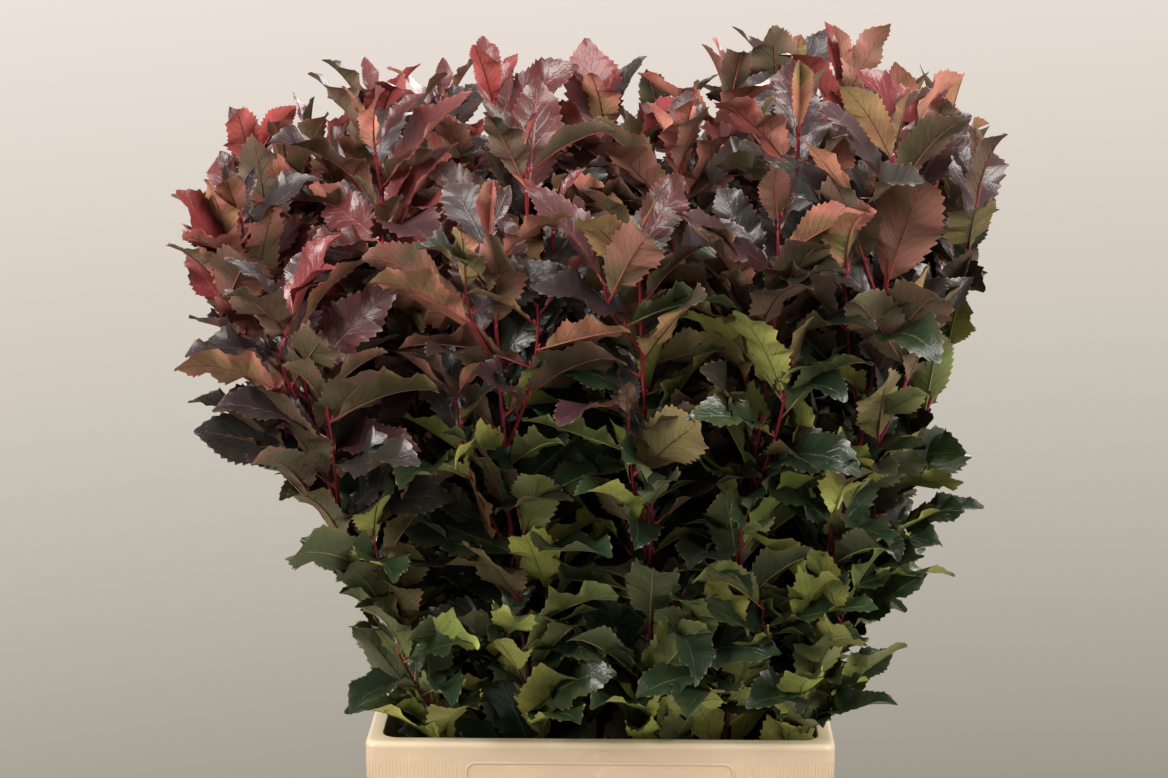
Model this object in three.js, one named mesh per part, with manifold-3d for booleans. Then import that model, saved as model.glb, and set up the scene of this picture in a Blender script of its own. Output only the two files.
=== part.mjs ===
// A bucketful of cut photinia: leafy stems fanned out in a rectangular plastic flower bucket.
// Lengths are millimetres and +Z is up. The origin is the centre of the bucket's flat underside,
// with +X to the right of the bucket's wide front and +Y to its back.

import * as THREE from 'three';
import { mergeVertices } from 'three/addons/utils/BufferGeometryUtils.js';
import Module from 'manifold-3d';

const wasm = await Module();
wasm.setup();

// Bucket sizes
const bucketHeight = 300;
const rimHalfWidth = 200;
const rimHalfDepth = 150;
const cornerRadius = 10;
const innerCornerRadius = 14;
const lipWidth = 9.5;
const lipBevel = 4;
const bevelHeight = 5;
const bevelBend = 0.3;
const lipHeight = 6;
const collarHeight = 110;
const collarInset = 2;
const shoulderHeight = 6;
const shoulderInset = 6;
const baseInset = 22;
const footBevel = 4;
const wallThickness = 3;
const floorThickness = 3.5;
const cornerSteps = 2;

// Label frame and the low boss above it, on the front and on the back
const frameWidth = 230;
const frameHeight = 84;
const frameDrop = 16.5;
const frameBead = 2.4;
const frameRadius = 9.5;
const beadRelief = 1.4;
const beadRoot = 4;
const bossWidth = 38;
const bossHeight = 10;
const bossDrop = 6;

// Fan of stems: depth rows from front to back, with how far each row spreads at the rim and in the crown
const frontFeet = [-138, -55, 47, 108, 172];
const frontCrowns = [-250, -88, 32, 138, 232];
const frontTips = [392, 446, 446, 462, 512];
const rows = [
  { footY: -38, crownY: -72, feet: 6, footX: 174, crownX: 302, lower: 24 },
  { footY: 36, crownY: 72, feet: 7, footX: 174, crownX: 308, lower: 0 },
  { footY: 112, crownY: 212, feet: 6, footX: 158, crownX: 268, lower: 22 },
];
const frontFootY = -112;
const frontCrownY = -212;
const footJitter = 6;
const crownJitter = 16;
const tipJitter = 22;
const floorSpread = 0.5;
const uprightFrom = 0.45;
const uprightPull = 0.6;
const swaySize = 4;
const swaySettle = 0.25;

// Height of the stems' tips above the rim: two lobes on a level crown that falls away at the sides
const crownLevel = 519;
const lobes = [
  { centre: -135, half: 85, rise: 26 },
  { centre: 205, half: 120, rise: 34 },
];
const shoulderFrom = 225;
const shoulderSlope = 0.4;

// Stems and shoots
const stemSides = 5;
const stemSteps = 3;
const stemFootRadius = 4.4;
const stemTopRadius = 3.4;
const shootSides = 3;
const shootSteps = 6;
const shootFootRadius = 3.9;
const shootTipRadius = 1.5;
const seat = 0.3;

// Side shoots: where they leave the leader, how far they rise and how far out they swing
const twigShares = [0.46, 0.62];
const twigRise = 0.27;
const twigShareJitter = 0.05;
const twigOut = 34;
const twigOutJitter = 7;
const twigTurnJitter = 0.5;
const twigSteps = 2;
const twigFootRadius = 2.4;
const twigTipRadius = 1.2;
const twigLeafShares = [0.6, 0.95];
const twigLeafExtra = 14;

// Where the leaves start, above the rim: lowest on the outside of the fan, higher inside it
const outerLeafStart = -48;
const innerLeafStart = 120;
const outsideFootX = 150;
const outsideFootY = 95;
const outsidePower = 3;

// Leaves
const lowLeafSpacing = 31;
const highLeafSpacing = 40;
const goldenAngle = 2.39996;
const lowLeafLength = 112;
const highLeafLength = 108;
const tipLeafLength = 80;
const leafWidthShare = 0.6;
const widestShare = 0.52;
const keelShare = 0.2;
const keelDepth = 3.2;
const ribDip = 0.6;
const rootSink = 2;
const leafFold = 0.09;
const leafDroop = 0.05;
const leafLowRise = 0.5;
const leafHighRise = 0.86;
const steepestRise = 1.45;
const leafTurnJitter = 0.3;
const leafRollJitter = 0.5;
const leafRiseJitter = 0.2;
const leafLengthJitter = 0.1;
const tipWhorl = 3;
const whorlDepth = 30;
const whorlStep = 8;
const whorlSteepening = 0.08;

// A leaf that doesn't fit is tried again steeper, turned to either side and shorter
const leafTries = 6;
const trySwing = 0.16;
const tryShortening = 0.055;
const probeShares = [0.25, 0.5, 0.75, 1];

// Clearances between the foliage spaces, above the tips and round the rim
const cellMargin = 0.7;
const tipReach = 78;
const rimClear = 2.5;

const seedBase = 4001;
const seedStep = 977;

const colours = {
  bucket: 0xdec6a8,
  stem: 0x5a2328,
  foliage: [0x4a3a2c, 0x59352d, 0x3f4426, 0x63403a],
};

// Seeded random numbers from 0 to 1
function generator(seed) {
  const modulus = 2147483647;
  const multiplier = 48271;
  const warmUp = 4;
  let state = seed;
  const next = () => {
    state = (state * multiplier) % modulus;
    return state / modulus;
  };
  for (let draw = 0; draw < warmUp; draw += 1) {
    next();
  }
  return next;
}

const spreadOf = (random, size) => (random() * 2 - 1) * size;

// Closed three.js geometry to a solid, and back
function toSolid(geometry) {
  const bare = geometry.clone();
  bare.deleteAttribute('normal');
  bare.deleteAttribute('uv');
  const merged = mergeVertices(bare, 1e-4);
  return new wasm.Manifold(new wasm.Mesh({
    numProp: 3,
    vertProperties: new Float32Array(merged.attributes.position.array),
    triVerts: new Uint32Array(merged.index.array),
  }));
}

function toGeometry(solid) {
  const mesh = solid.getMesh();
  const geometry = new THREE.BufferGeometry();
  geometry.setAttribute('position', new THREE.BufferAttribute(new Float32Array(mesh.vertProperties), 3));
  geometry.setIndex(new THREE.BufferAttribute(new Uint32Array(mesh.triVerts), 1));
  geometry.computeVertexNormals();
  return geometry;
}

// The outer skin of the largest body: loose scraps and sealed hollows are left behind
function largestBody(solid) {
  const bodies = solid.decompose();
  return bodies.reduce((best, body) => (body.volume() > best.volume() ? body : best));
}

// Rounded rectangle outline
function roundedRectangle(halfWidth, halfHeight, radius) {
  const shape = new THREE.Shape();
  const right = halfWidth - radius;
  const top = halfHeight - radius;
  shape.moveTo(-right, -halfHeight);
  shape.lineTo(right, -halfHeight);
  shape.absarc(right, -top, radius, -Math.PI / 2, 0, false);
  shape.lineTo(halfWidth, top);
  shape.absarc(right, top, radius, 0, Math.PI / 2, false);
  shape.lineTo(-right, halfHeight);
  shape.absarc(-right, top, radius, Math.PI / 2, Math.PI, false);
  shape.lineTo(-halfWidth, -top);
  shape.absarc(-right, -top, radius, Math.PI, Math.PI * 1.5, false);
  return shape;
}

// Upright body whose rounded-rectangle section is inset by a different amount at each level
function insetBody(radius, levels) {
  const shape = roundedRectangle(rimHalfWidth, rimHalfDepth, radius);
  const steps = levels.length - 1;
  const geometry = new THREE.ExtrudeGeometry(shape, {
    depth: steps,
    steps,
    bevelEnabled: false,
    curveSegments: cornerSteps,
  });
  const position = geometry.attributes.position;
  for (let i = 0; i < position.count; i += 1) {
    const level = levels[Math.round(position.getZ(i))];
    const x = position.getX(i);
    const y = position.getY(i);
    position.setXYZ(i, x - Math.sign(x) * level.inset, y - Math.sign(y) * level.inset, level.z);
  }
  return toSolid(geometry);
}

// Raised bead round the label field, standing out of one wall
function labelFrame() {
  const outline = roundedRectangle(frameWidth / 2, frameHeight / 2, frameRadius);
  const hole = roundedRectangle(frameWidth / 2 - frameBead, frameHeight / 2 - frameBead,
    frameRadius - frameBead);
  outline.holes.push(hole);
  return new THREE.ExtrudeGeometry(outline, {
    depth: beadRelief + beadRoot,
    bevelEnabled: false,
    curveSegments: 1,
  });
}

// Low boss shaped like the top of a circle
function frameBoss() {
  const radius = (bossWidth * bossWidth / 4 + bossHeight * bossHeight) / (2 * bossHeight);
  const reach = Math.asin(bossWidth / 2 / radius);
  const shape = new THREE.Shape();
  shape.absarc(0, bossHeight - radius, radius, Math.PI / 2 - reach, Math.PI / 2 + reach, false);
  return new THREE.ExtrudeGeometry(shape, {
    depth: beadRelief + beadRoot,
    bevelEnabled: false,
    curveSegments: 3,
  });
}

// Sets a flat panel detail against the collar's front or back wall, sunk by its root
function onCollar(geometry, side, centreZ) {
  const placed = geometry.clone();
  placed.translate(0, 0, -beadRoot);
  placed.rotateX(Math.PI / 2);
  placed.translate(0, 0, centreZ);
  const position = placed.attributes.position;
  for (let i = 0; i < position.count; i += 1) {
    const inset = collarInset * (bucketHeight - position.getZ(i)) / collarHeight;
    position.setY(i, position.getY(i) - rimHalfDepth + inset);
  }
  if (side > 0) {
    placed.rotateZ(Math.PI);
  }
  return toSolid(placed);
}

function makeBucket() {
  const lipInset = lipBevel + lipWidth;
  const collarLow = bucketHeight - collarHeight;
  const outside = insetBody(cornerRadius, [
    { z: 0, inset: baseInset + footBevel },
    { z: footBevel, inset: baseInset },
    { z: collarLow - shoulderHeight, inset: shoulderInset },
    { z: collarLow, inset: collarInset },
    { z: bucketHeight - bevelHeight, inset: 0 },
    { z: bucketHeight - bevelHeight * bevelBend, inset: lipBevel * bevelBend },
    { z: bucketHeight, inset: lipBevel },
  ]);
  const inside = insetBody(innerCornerRadius, [
    { z: floorThickness, inset: baseInset + wallThickness },
    { z: collarLow - shoulderHeight, inset: shoulderInset + wallThickness },
    { z: collarLow, inset: collarInset + wallThickness },
    { z: bucketHeight - lipHeight * 2, inset: wallThickness },
    { z: bucketHeight - lipHeight, inset: lipInset },
    { z: bucketHeight + lipHeight, inset: lipInset },
  ]);
  let bucket = outside;
  for (const side of [-1, 1]) {
    bucket = bucket.add(onCollar(labelFrame(), side, bucketHeight - frameDrop - frameHeight / 2));
    bucket = bucket.add(onCollar(frameBoss(), side, bucketHeight - bossDrop - bossHeight));
  }
  return toGeometry(bucket.subtract(inside));
}

// Height above the rim that the crown's tips reach at a place across the fan
function crownHeightAt(x) {
  let height = crownLevel;
  for (const lobe of lobes) {
    height += lobe.rise * Math.exp(-(((x - lobe.centre) / lobe.half) ** 2));
  }
  return height - Math.max(0, Math.abs(x) - shoulderFrom) * shoulderSlope;
}

// Height at which a stem's leaves start: the nearer the fan's outside, the lower
function leafStart(foot) {
  const across = Math.abs(foot[0]) / outsideFootX;
  const deep = Math.abs(foot[1]) / outsideFootY;
  const outside = Math.min(1, Math.max(across, deep)) ** outsidePower;
  return bucketHeight + innerLeafStart + (outerLeafStart - innerLeafStart) * outside;
}

// Side shoots: each leaves the leader at a share of its height and rises to a lower tip
function planTwigs(stem) {
  const { random } = stem;
  const reach = stem.tipZ - stem.leafZ;
  const turn = random() * Math.PI * 2;
  return twigShares.map((share, i) => {
    const startZ = stem.leafZ + reach * (share + spreadOf(random, twigShareJitter));
    return {
      startZ,
      tipZ: startZ + reach * (twigRise + spreadOf(random, twigShareJitter)),
      azimuth: turn + i * (Math.PI + spreadOf(random, twigTurnJitter)),
      out: twigOut + spreadOf(random, twigOutJitter),
    };
  });
}

// Each stem: its place at the rim, its place at the top of the crown and the height of its tip
function planStems() {
  const stems = [];
  const addStem = (foot, crown, tipRise) => {
    const index = stems.length;
    const random = generator(seedBase + index * seedStep);
    const stem = {
      index,
      foot,
      crown,
      leafZ: leafStart(foot),
      tipZ: bucketHeight + tipRise,
      swayPhase: random() * Math.PI * 2,
      swayTurn: random() * Math.PI,
      random,
    };
    stem.twigs = planTwigs(stem);
    stems.push(stem);
  };
  frontFeet.forEach((footX, i) => {
    addStem([footX, frontFootY], [frontCrowns[i], frontCrownY], frontTips[i]);
  });
  const placing = generator(seedBase);
  for (const row of rows) {
    for (let i = 0; i < row.feet; i += 1) {
      const share = (2 * i) / (row.feet - 1) - 1;
      const footX = share * row.footX + spreadOf(placing, footJitter);
      const footY = row.footY + spreadOf(placing, footJitter);
      const crownX = share * row.crownX + spreadOf(placing, crownJitter);
      const crownY = row.crownY + spreadOf(placing, crownJitter);
      const tipRise = crownHeightAt(crownX) - row.lower - placing() * tipJitter;
      addStem([footX, footY], [crownX, crownY], tipRise);
    }
  }
  return stems;
}

// Share of the way from foot to crown: straight at first, turning upright near the tip
function leanShare(t) {
  const pull = (share) => share - uprightPull * Math.max(0, share - uprightFrom) ** 2;
  return pull(t) / pull(1);
}

// Axis of a stem at one height, as [x, y]
function axisAt(stem, z) {
  if (z < bucketHeight) {
    const share = floorSpread + (1 - floorSpread) * (z / bucketHeight);
    return [stem.foot[0] * share, stem.foot[1] * share];
  }
  const t = (z - bucketHeight) / (stem.tipZ - bucketHeight);
  const share = leanShare(t);
  const sway = swaySize * Math.sin(t * Math.PI * 2 + stem.swayPhase) * Math.min(1, t / swaySettle);
  return [
    stem.foot[0] + (stem.crown[0] - stem.foot[0]) * share + sway * Math.cos(stem.swayTurn),
    stem.foot[1] + (stem.crown[1] - stem.foot[1]) * share + sway * Math.sin(stem.swayTurn),
  ];
}

// Tapered tube whose axis passes through pathAt(z) at every height
function taperedTube(sides, steps, lowZ, highZ, lowRadius, highRadius, pathAt) {
  const geometry = new THREE.CylinderGeometry(highRadius, lowRadius, highZ - lowZ, sides, steps);
  geometry.rotateX(Math.PI / 2);
  geometry.translate(0, 0, (lowZ + highZ) / 2);
  const position = geometry.attributes.position;
  for (let i = 0; i < position.count; i += 1) {
    const z = position.getZ(i);
    const [x, y] = pathAt(z);
    position.setXYZ(i, position.getX(i) + x, position.getY(i) + y, z);
  }
  return geometry;
}

// Whether a point is in the space of one stem's foliage
function inOwnSpace(stem, stems, point) {
  if (point.z > stem.tipZ + tipReach - cellMargin) {
    return false;
  }
  if (point.z < bucketHeight + rimClear) {
    const inset = lipBevel + lipWidth + rimClear;
    if (Math.abs(point.x) > rimHalfWidth - inset || Math.abs(point.y) > rimHalfDepth - inset) {
      return false;
    }
  } else {
    const past = Math.max(Math.abs(point.x) - rimHalfWidth, Math.abs(point.y) - rimHalfDepth) + lipWidth;
    if (past > point.z - bucketHeight - rimClear) {
      return false;
    }
  }
  const [ownX, ownY] = axisAt(stem, point.z);
  const own = Math.hypot(point.x - ownX, point.y - ownY);
  return stems.every((other) => {
    if (other === stem || point.z > other.tipZ + tipReach) {
      return true;
    }
    const [x, y] = axisAt(other, point.z);
    return Math.hypot(point.x - x, point.y - y) > own + cellMargin * 2;
  });
}

// The six corners of a leaf: root, keel under the root, rib, the two edges and the tip
function leafCorners(root, azimuth, rise, roll, length) {
  const forward = new THREE.Vector3(
    Math.cos(azimuth) * Math.cos(rise), Math.sin(azimuth) * Math.cos(rise), Math.sin(rise));
  const upper = new THREE.Vector3(
    -Math.cos(azimuth) * Math.sin(rise), -Math.sin(azimuth) * Math.sin(rise), Math.cos(rise));
  upper.applyAxisAngle(forward, roll);
  const side = new THREE.Vector3().crossVectors(upper, forward);
  const at = (along, across, up) => root.clone()
    .addScaledVector(forward, along)
    .addScaledVector(side, across)
    .addScaledVector(upper, up);
  const half = length * leafWidthShare / 2;
  const droop = length * leafDroop;
  const fold = length * leafFold;
  const widest = length * widestShare;
  return {
    right: at(widest, half, fold),
    left: at(widest, -half, fold),
    upper: at(widest, 0, -ribDip),
    lower: at(length * keelShare, 0, -keelDepth),
    tip: at(length, 0, -droop),
    root: at(-rootSink, 0, 0),
  };
}

// An octahedron's six corners moved to a leaf's six corners
function leafGeometry(corners) {
  const geometry = new THREE.OctahedronGeometry(1, 0);
  const position = geometry.attributes.position;
  for (let i = 0; i < position.count; i += 1) {
    const x = Math.round(position.getX(i));
    const y = Math.round(position.getY(i));
    let corner = position.getZ(i) > 0 ? corners.tip : corners.root;
    if (x !== 0) {
      corner = x > 0 ? corners.right : corners.left;
    } else if (y !== 0) {
      corner = y > 0 ? corners.upper : corners.lower;
    }
    position.setXYZ(i, corner.x, corner.y, corner.z);
  }
  return geometry;
}

// Points of a leaf that have to lie in its own space: its corners and points along its edges
function leafProbes(corners) {
  const { right, left, upper, lower, tip, root } = corners;
  const edges = [
    [root, right], [root, left], [right, tip], [left, tip], [lower, tip],
    [upper, right], [upper, left], [upper, tip],
  ];
  return edges.flatMap(([from, to]) => probeShares.map((share) => from.clone().lerp(to, share)));
}

// One leaf at a node, steeper, turned and shorter from try to try until it is in its own space
// and clear of the leaves that are there already, or none
function growLeaf(stem, stems, leaf, grown) {
  const { random } = stem;
  const turn = spreadOf(random, leafTurnJitter);
  const roll = spreadOf(random, leafRollJitter);
  const rise = leaf.rise + spreadOf(random, leafRiseJitter);
  const length = leaf.length * (1 + spreadOf(random, leafLengthJitter));
  for (let attempt = 0; attempt < leafTries; attempt += 1) {
    const steeper = rise + (steepestRise - rise) * (attempt / leafTries);
    const swing = turn + (attempt % 2 ? trySwing : -trySwing) * attempt;
    const shorter = length * (1 - tryShortening * attempt);
    const corners = leafCorners(leaf.root, leaf.azimuth + swing, steeper, roll, shorter);
    if (leafProbes(corners).every((point) => inOwnSpace(stem, stems, point))) {
      const solid = toSolid(leafGeometry(corners));
      if (grown.every((other) => other.intersect(solid).isEmpty())) {
        grown.push(solid);
        return;
      }
    }
  }
}

// Axis of a side shoot at one height: it swings out from the leader, then rises beside it
function twigAt(stem, twig, z) {
  const [baseX, baseY] = axisAt(stem, z);
  const t = (z - twig.startZ) / (twig.tipZ - twig.startZ);
  const out = twig.out * (1 - (1 - t) ** 2);
  return [baseX + Math.cos(twig.azimuth) * out, baseY + Math.sin(twig.azimuth) * out];
}

// Foliage of one stem: its leader, its side shoots and their leaves, fused
function growFoliage(stem, stems) {
  const lowZ = stem.leafZ + seat;
  const leaderAt = (z) => axisAt(stem, z);
  const shoots = [taperedTube(shootSides, shootSteps, lowZ, stem.tipZ,
    shootFootRadius, shootTipRadius, leaderAt)];
  const leaves = [];
  let azimuth = stem.random() * Math.PI * 2;
  const addLeaf = (x, y, z, t, length) => {
    azimuth += goldenAngle;
    growLeaf(stem, stems, {
      root: new THREE.Vector3(x, y, z),
      azimuth,
      rise: leafLowRise + (leafHighRise - leafLowRise) * t,
      length,
    }, leaves);
  };
  const leafLengthAt = (t) => lowLeafLength + (highLeafLength - lowLeafLength) * t;
  let z = lowZ + lowLeafSpacing / 2;
  while (z < stem.tipZ - highLeafSpacing) {
    const [x, y] = leaderAt(z);
    const t = Math.max(0, (z - bucketHeight) / (stem.tipZ - bucketHeight));
    addLeaf(x, y, z, t, leafLengthAt(t));
    z += lowLeafSpacing + (highLeafSpacing - lowLeafSpacing) * t;
  }
  for (let i = 0; i < tipWhorl; i += 1) {
    z = stem.tipZ - whorlDepth + i * whorlStep;
    const [x, y] = leaderAt(z);
    addLeaf(x, y, z, 1 + whorlSteepening * i, tipLeafLength);
  }
  for (const twig of stem.twigs) {
    const pathAt = (height) => twigAt(stem, twig, height);
    const [tipX, tipY] = pathAt(twig.tipZ);
    const tip = new THREE.Vector3(tipX, tipY, twig.tipZ);
    if (inOwnSpace(stem, stems, tip)) {
      shoots.push(taperedTube(shootSides, twigSteps, twig.startZ, twig.tipZ,
        twigFootRadius, twigTipRadius, pathAt));
      for (const share of twigLeafShares) {
        z = twig.startZ + (twig.tipZ - twig.startZ) * share;
        const [x, y] = pathAt(z);
        addLeaf(x, y, z, 1, tipLeafLength + twigLeafExtra * (1 - share));
      }
    }
  }
  const fused = [...shoots.map(toSolid), ...leaves].reduce((body, solid) => body.add(solid));
  return toGeometry(largestBody(fused));
}

function addPart(group, name, geometry, colour, roughness) {
  const material = new THREE.MeshStandardMaterial({ color: colour, roughness, metalness: 0 });
  const mesh = new THREE.Mesh(geometry, material);
  mesh.name = name;
  group.add(mesh);
}

const group = new THREE.Group();
addPart(group, 'bucket', makeBucket(), colours.bucket, 0.45);

const stems = planStems();
for (const stem of stems) {
  const label = String(stem.index + 1).padStart(2, '0');
  const stemGeometry = taperedTube(stemSides, stemSteps, floorThickness + seat, stem.leafZ,
    stemFootRadius, stemTopRadius, (z) => axisAt(stem, z));
  addPart(group, `stem_${label}`, stemGeometry, colours.stem, 0.5);
  const colour = colours.foliage[stem.index % colours.foliage.length];
  addPart(group, `foliage_${label}`, growFoliage(stem, stems), colour, 0.55);
}

export default group;
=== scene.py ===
# %% [markdown]
# # A bucketful of cut photinia
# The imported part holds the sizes: a rectangular plastic flower bucket, twenty-four cut stems that
# fan out of it and a plain mass of foliage on each stem. This lesson dresses those pieces. It
# loads them as a fixed frame first, so that everything made later goes where they already are.

# %% Load the fixed frame
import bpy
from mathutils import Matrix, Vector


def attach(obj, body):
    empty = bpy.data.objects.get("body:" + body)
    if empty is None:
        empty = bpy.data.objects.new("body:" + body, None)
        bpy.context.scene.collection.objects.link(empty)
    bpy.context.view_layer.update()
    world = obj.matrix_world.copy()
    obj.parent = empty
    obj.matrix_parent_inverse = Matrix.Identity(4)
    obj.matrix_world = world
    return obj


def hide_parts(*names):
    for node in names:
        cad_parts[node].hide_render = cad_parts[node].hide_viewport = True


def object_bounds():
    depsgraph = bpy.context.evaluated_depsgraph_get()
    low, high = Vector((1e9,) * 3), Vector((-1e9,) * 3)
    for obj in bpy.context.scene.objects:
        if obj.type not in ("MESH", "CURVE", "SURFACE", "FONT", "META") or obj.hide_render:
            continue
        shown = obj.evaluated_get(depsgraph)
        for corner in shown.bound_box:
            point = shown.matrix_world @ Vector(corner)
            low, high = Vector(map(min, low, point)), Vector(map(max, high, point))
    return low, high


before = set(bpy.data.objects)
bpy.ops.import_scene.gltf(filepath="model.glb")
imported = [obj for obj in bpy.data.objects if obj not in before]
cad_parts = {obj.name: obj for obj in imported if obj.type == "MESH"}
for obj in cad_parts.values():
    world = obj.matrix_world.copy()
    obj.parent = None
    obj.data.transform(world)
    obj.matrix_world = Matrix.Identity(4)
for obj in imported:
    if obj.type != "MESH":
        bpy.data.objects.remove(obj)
cad_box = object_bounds()
print("frame:", len(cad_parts), "nodes")

# %% Tools for the rest of the lesson
import math
from collections import namedtuple
from functools import partial
from types import SimpleNamespace

import bmesh
import bpy
import numpy as np
from bmesh.types import BMEdge, BMFace, BMVert

MM = 0.001
BODY = "root"
UP = np.array([0.0, 0.0, 1.0])
LEVEL_PART = np.array([1, 1, 0])  # leaves out a direction's rise


def between(low, high, share):
    """The number that lies a share of the way from low to high."""
    return low + (high - low) * share


def new_object(name, data):
    made = bpy.data.objects.new(name, data)
    bpy.context.scene.collection.objects.link(made)
    return made


# %% [markdown]
# ## The camera
# The bucket was looked at from a little above and from about two metres away, through a long
# lens: the rim's front edge is nearly level and its sides hardly close in. A long lens keeps that
# quiet perspective. The tilt and the distance come from how wide the rim's near and far edges are.

# %% Camera
PICTURE_WIDTH = 1168
FOCAL_PIXELS = 2500
SENSOR_WIDTH = 36
CAMERA_PLACE = (0.029, -2.159, 1.041)
CAMERA_TILT = math.radians(77.84)
CAMERA_TURN = math.radians(1.207)

camera_data = bpy.data.cameras.new("camera")
camera_data.sensor_width = SENSOR_WIDTH
camera_data.lens = SENSOR_WIDTH * FOCAL_PIXELS / PICTURE_WIDTH
camera = new_object("camera", camera_data)
camera.location = CAMERA_PLACE
camera.rotation_euler = (CAMERA_TILT, 0, CAMERA_TURN)
bpy.context.scene.camera = camera
print("camera: lens", round(camera_data.lens, 2), "mm")

# %% [markdown]
# ## Shader sums as plain Python
# A finish is mostly arithmetic on patterns. One small class stands for a value in the node tree
# and takes Python's own operators, so that `1 - mask` adds the Math node it needs. Every node
# comes from one method, which sets its settings first and then its sockets.

# %% Values in a node tree
class Value:
    """One output in a finish's node tree, which Python's arithmetic works on."""

    def __init__(self, finish, socket):
        self.finish = finish
        self.socket = socket

    def part(self, name):
        return Value(self.finish, self.socket.node.outputs[name])

    def sum(self, operation, *others):
        return self.finish.sum(operation, self, *others)

    def held(self):
        """The value kept between 0 and 1."""
        return self.sum("MAXIMUM", 0.0).sum("MINIMUM", 1.0)

    def __add__(self, other):
        return self.sum("ADD", other)

    def __sub__(self, other):
        return self.sum("SUBTRACT", other)

    def __rsub__(self, other):
        return self.finish.sum("SUBTRACT", other, self)

    def __mul__(self, other):
        return self.sum("MULTIPLY", other)

    def __truediv__(self, other):
        return self.sum("DIVIDE", other)

    def __rtruediv__(self, other):
        return self.finish.sum("DIVIDE", other, self)

    def __abs__(self):
        return self.sum("ABSOLUTE")

    __radd__ = __add__
    __rmul__ = __mul__


# %% A finish and its nodes
def linear(hex_colour):
    """A colour written as on a screen, such as 0xDEC6A8, as the light values that Blender uses."""
    channels = [(hex_colour >> shift & 255) / 255 for shift in (16, 8, 0)]
    bend = [c / 12.92 if c <= 0.04045 else ((c + 0.055) / 1.055) ** 2.4 for c in channels]
    return (*bend, 1.0)


class Finish:
    """The node tree of a material, or of the room, while it is being built."""

    def __init__(self, name, kind="materials"):
        self.owner = getattr(bpy.data, kind).new(name)
        self.owner.use_nodes = True
        self.tree = self.owner.node_tree
        self.tree.nodes.clear()

    def node(self, kind, settings=None, inputs=None):
        made = self.tree.nodes.new(kind)
        for name, setting in (settings or {}).items():
            setattr(made, name, setting)
        for name, value in (inputs or {}).items():
            if isinstance(value, Value):
                self.tree.links.new(value.socket, made.inputs[name])
            else:
                made.inputs[name].default_value = value
        return Value(self, made.outputs[0]) if made.outputs else None

    def sum(self, operation, *numbers):
        return self.node("ShaderNodeMath", {"operation": operation}, dict(enumerate(numbers)))

    def mix(self, share, low, high):
        """A mix of two colours: a Mix node keeps its colours in sockets 6 and 7, and 2 is the mix."""
        return self.node("ShaderNodeMix", {"data_type": "RGBA"}, {0: share, 6: low, 7: high}).part(2)

    def brighter(self, colour, amount):
        inputs = {0: colour, "Scale": amount}
        return self.node("ShaderNodeVectorMath", {"operation": "SCALE"}, inputs)

    def place(self):
        return self.node("ShaderNodeTexCoord").part("Object")

    def parts(self, vector):
        """The X, Y and Z of a vector."""
        split = self.node("ShaderNodeSeparateXYZ", inputs={0: vector})
        return [split.part(axis) for axis in "XYZ"]

    def noise(self, place, scale, detail):
        """A cloudy pattern from 0 to 1, with about as many clouds to a metre as the scale says."""
        inputs = {"Vector": place, "Scale": scale, "Detail": detail}
        return self.node("ShaderNodeTexNoise", inputs=inputs)

    def shade(self):
        """The number that each copy, or each vertex, of a joined piece was given."""
        return self.node("ShaderNodeAttribute", {"attribute_name": "shade"}).part("Fac")

    def bump(self, height, depth, strength):
        """Relief from a pattern, as deep in metres as the depth says."""
        inputs = {"Height": height, "Distance": depth, "Strength": strength}
        return self.node("ShaderNodeBump", inputs=inputs)

    def surface(self, **sockets):
        inputs = {name.replace("_", " "): value for name, value in sockets.items()}
        shader = self.node("ShaderNodeBsdfPrincipled", inputs=inputs)
        self.node("ShaderNodeOutputMaterial", inputs={"Surface": shader})
        return self.owner


# %% [markdown]
# ## Meshes
# A piece that is made once stays a bmesh until it is finished. Leaves, ribs, buds and lengths of
# stem are made once as a small pattern piece. Their copies are bent in one go with arrays and
# joined into one mesh, which is far quicker than many objects and leaves nothing to realize.

# %% Working on a bmesh
def only(kind, geometry):
    """The vertices, edges or faces among what an operator gives back."""
    return [each for each in geometry if isinstance(each, kind)]


def shift(bm, *vector):
    bmesh.ops.translate(bm, verts=bm.verts[:], vec=vector)


def grow_ring(bm, ring):
    """Extrudes a ring of edges and gives the new ring's edges and vertices."""
    grown = bmesh.ops.extrude_edge_only(bm, edges=ring)["geom"]
    return only(BMEdge, grown), only(BMVert, grown)


def finished_mesh(bm, name):
    """Ends a bmesh, smooth wherever no edge is sharp."""
    for face in bm.faces:
        face.smooth = True
    mesh = bpy.data.meshes.new(name)
    bm.to_mesh(mesh)
    bm.free()
    return mesh


def mesh_from(bm, name, crease=35):
    """Ends a bmesh: normals out, smooth except over edges that bend more than the crease."""
    bmesh.ops.recalc_face_normals(bm, faces=bm.faces[:])
    for edge in bm.edges:
        edge.smooth = len(edge.link_faces) == 2 and edge.calc_face_angle() < math.radians(crease)
    return finished_mesh(bm, name)


# %% Making objects
def add_object(name, mesh, materials, nodes):
    """A finished piece: it rides on the part's one body and stands for the plain nodes named."""
    made = new_object(name, mesh)
    for material in materials:
        mesh.materials.append(material)
    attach(made, BODY)
    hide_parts(*nodes)
    print(name + ":", len(mesh.vertices), "vertices,", len(mesh.polygons), "faces")


# %% Joined copies of a pattern piece
def read(items, name, kind=int, size=1):
    """One property of all of a mesh's items, as an array."""
    values = np.empty(len(items) * size, kind)
    items.foreach_get(name, values)
    return values


def write(items, name, values):
    items.foreach_set(name, values.ravel())


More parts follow.
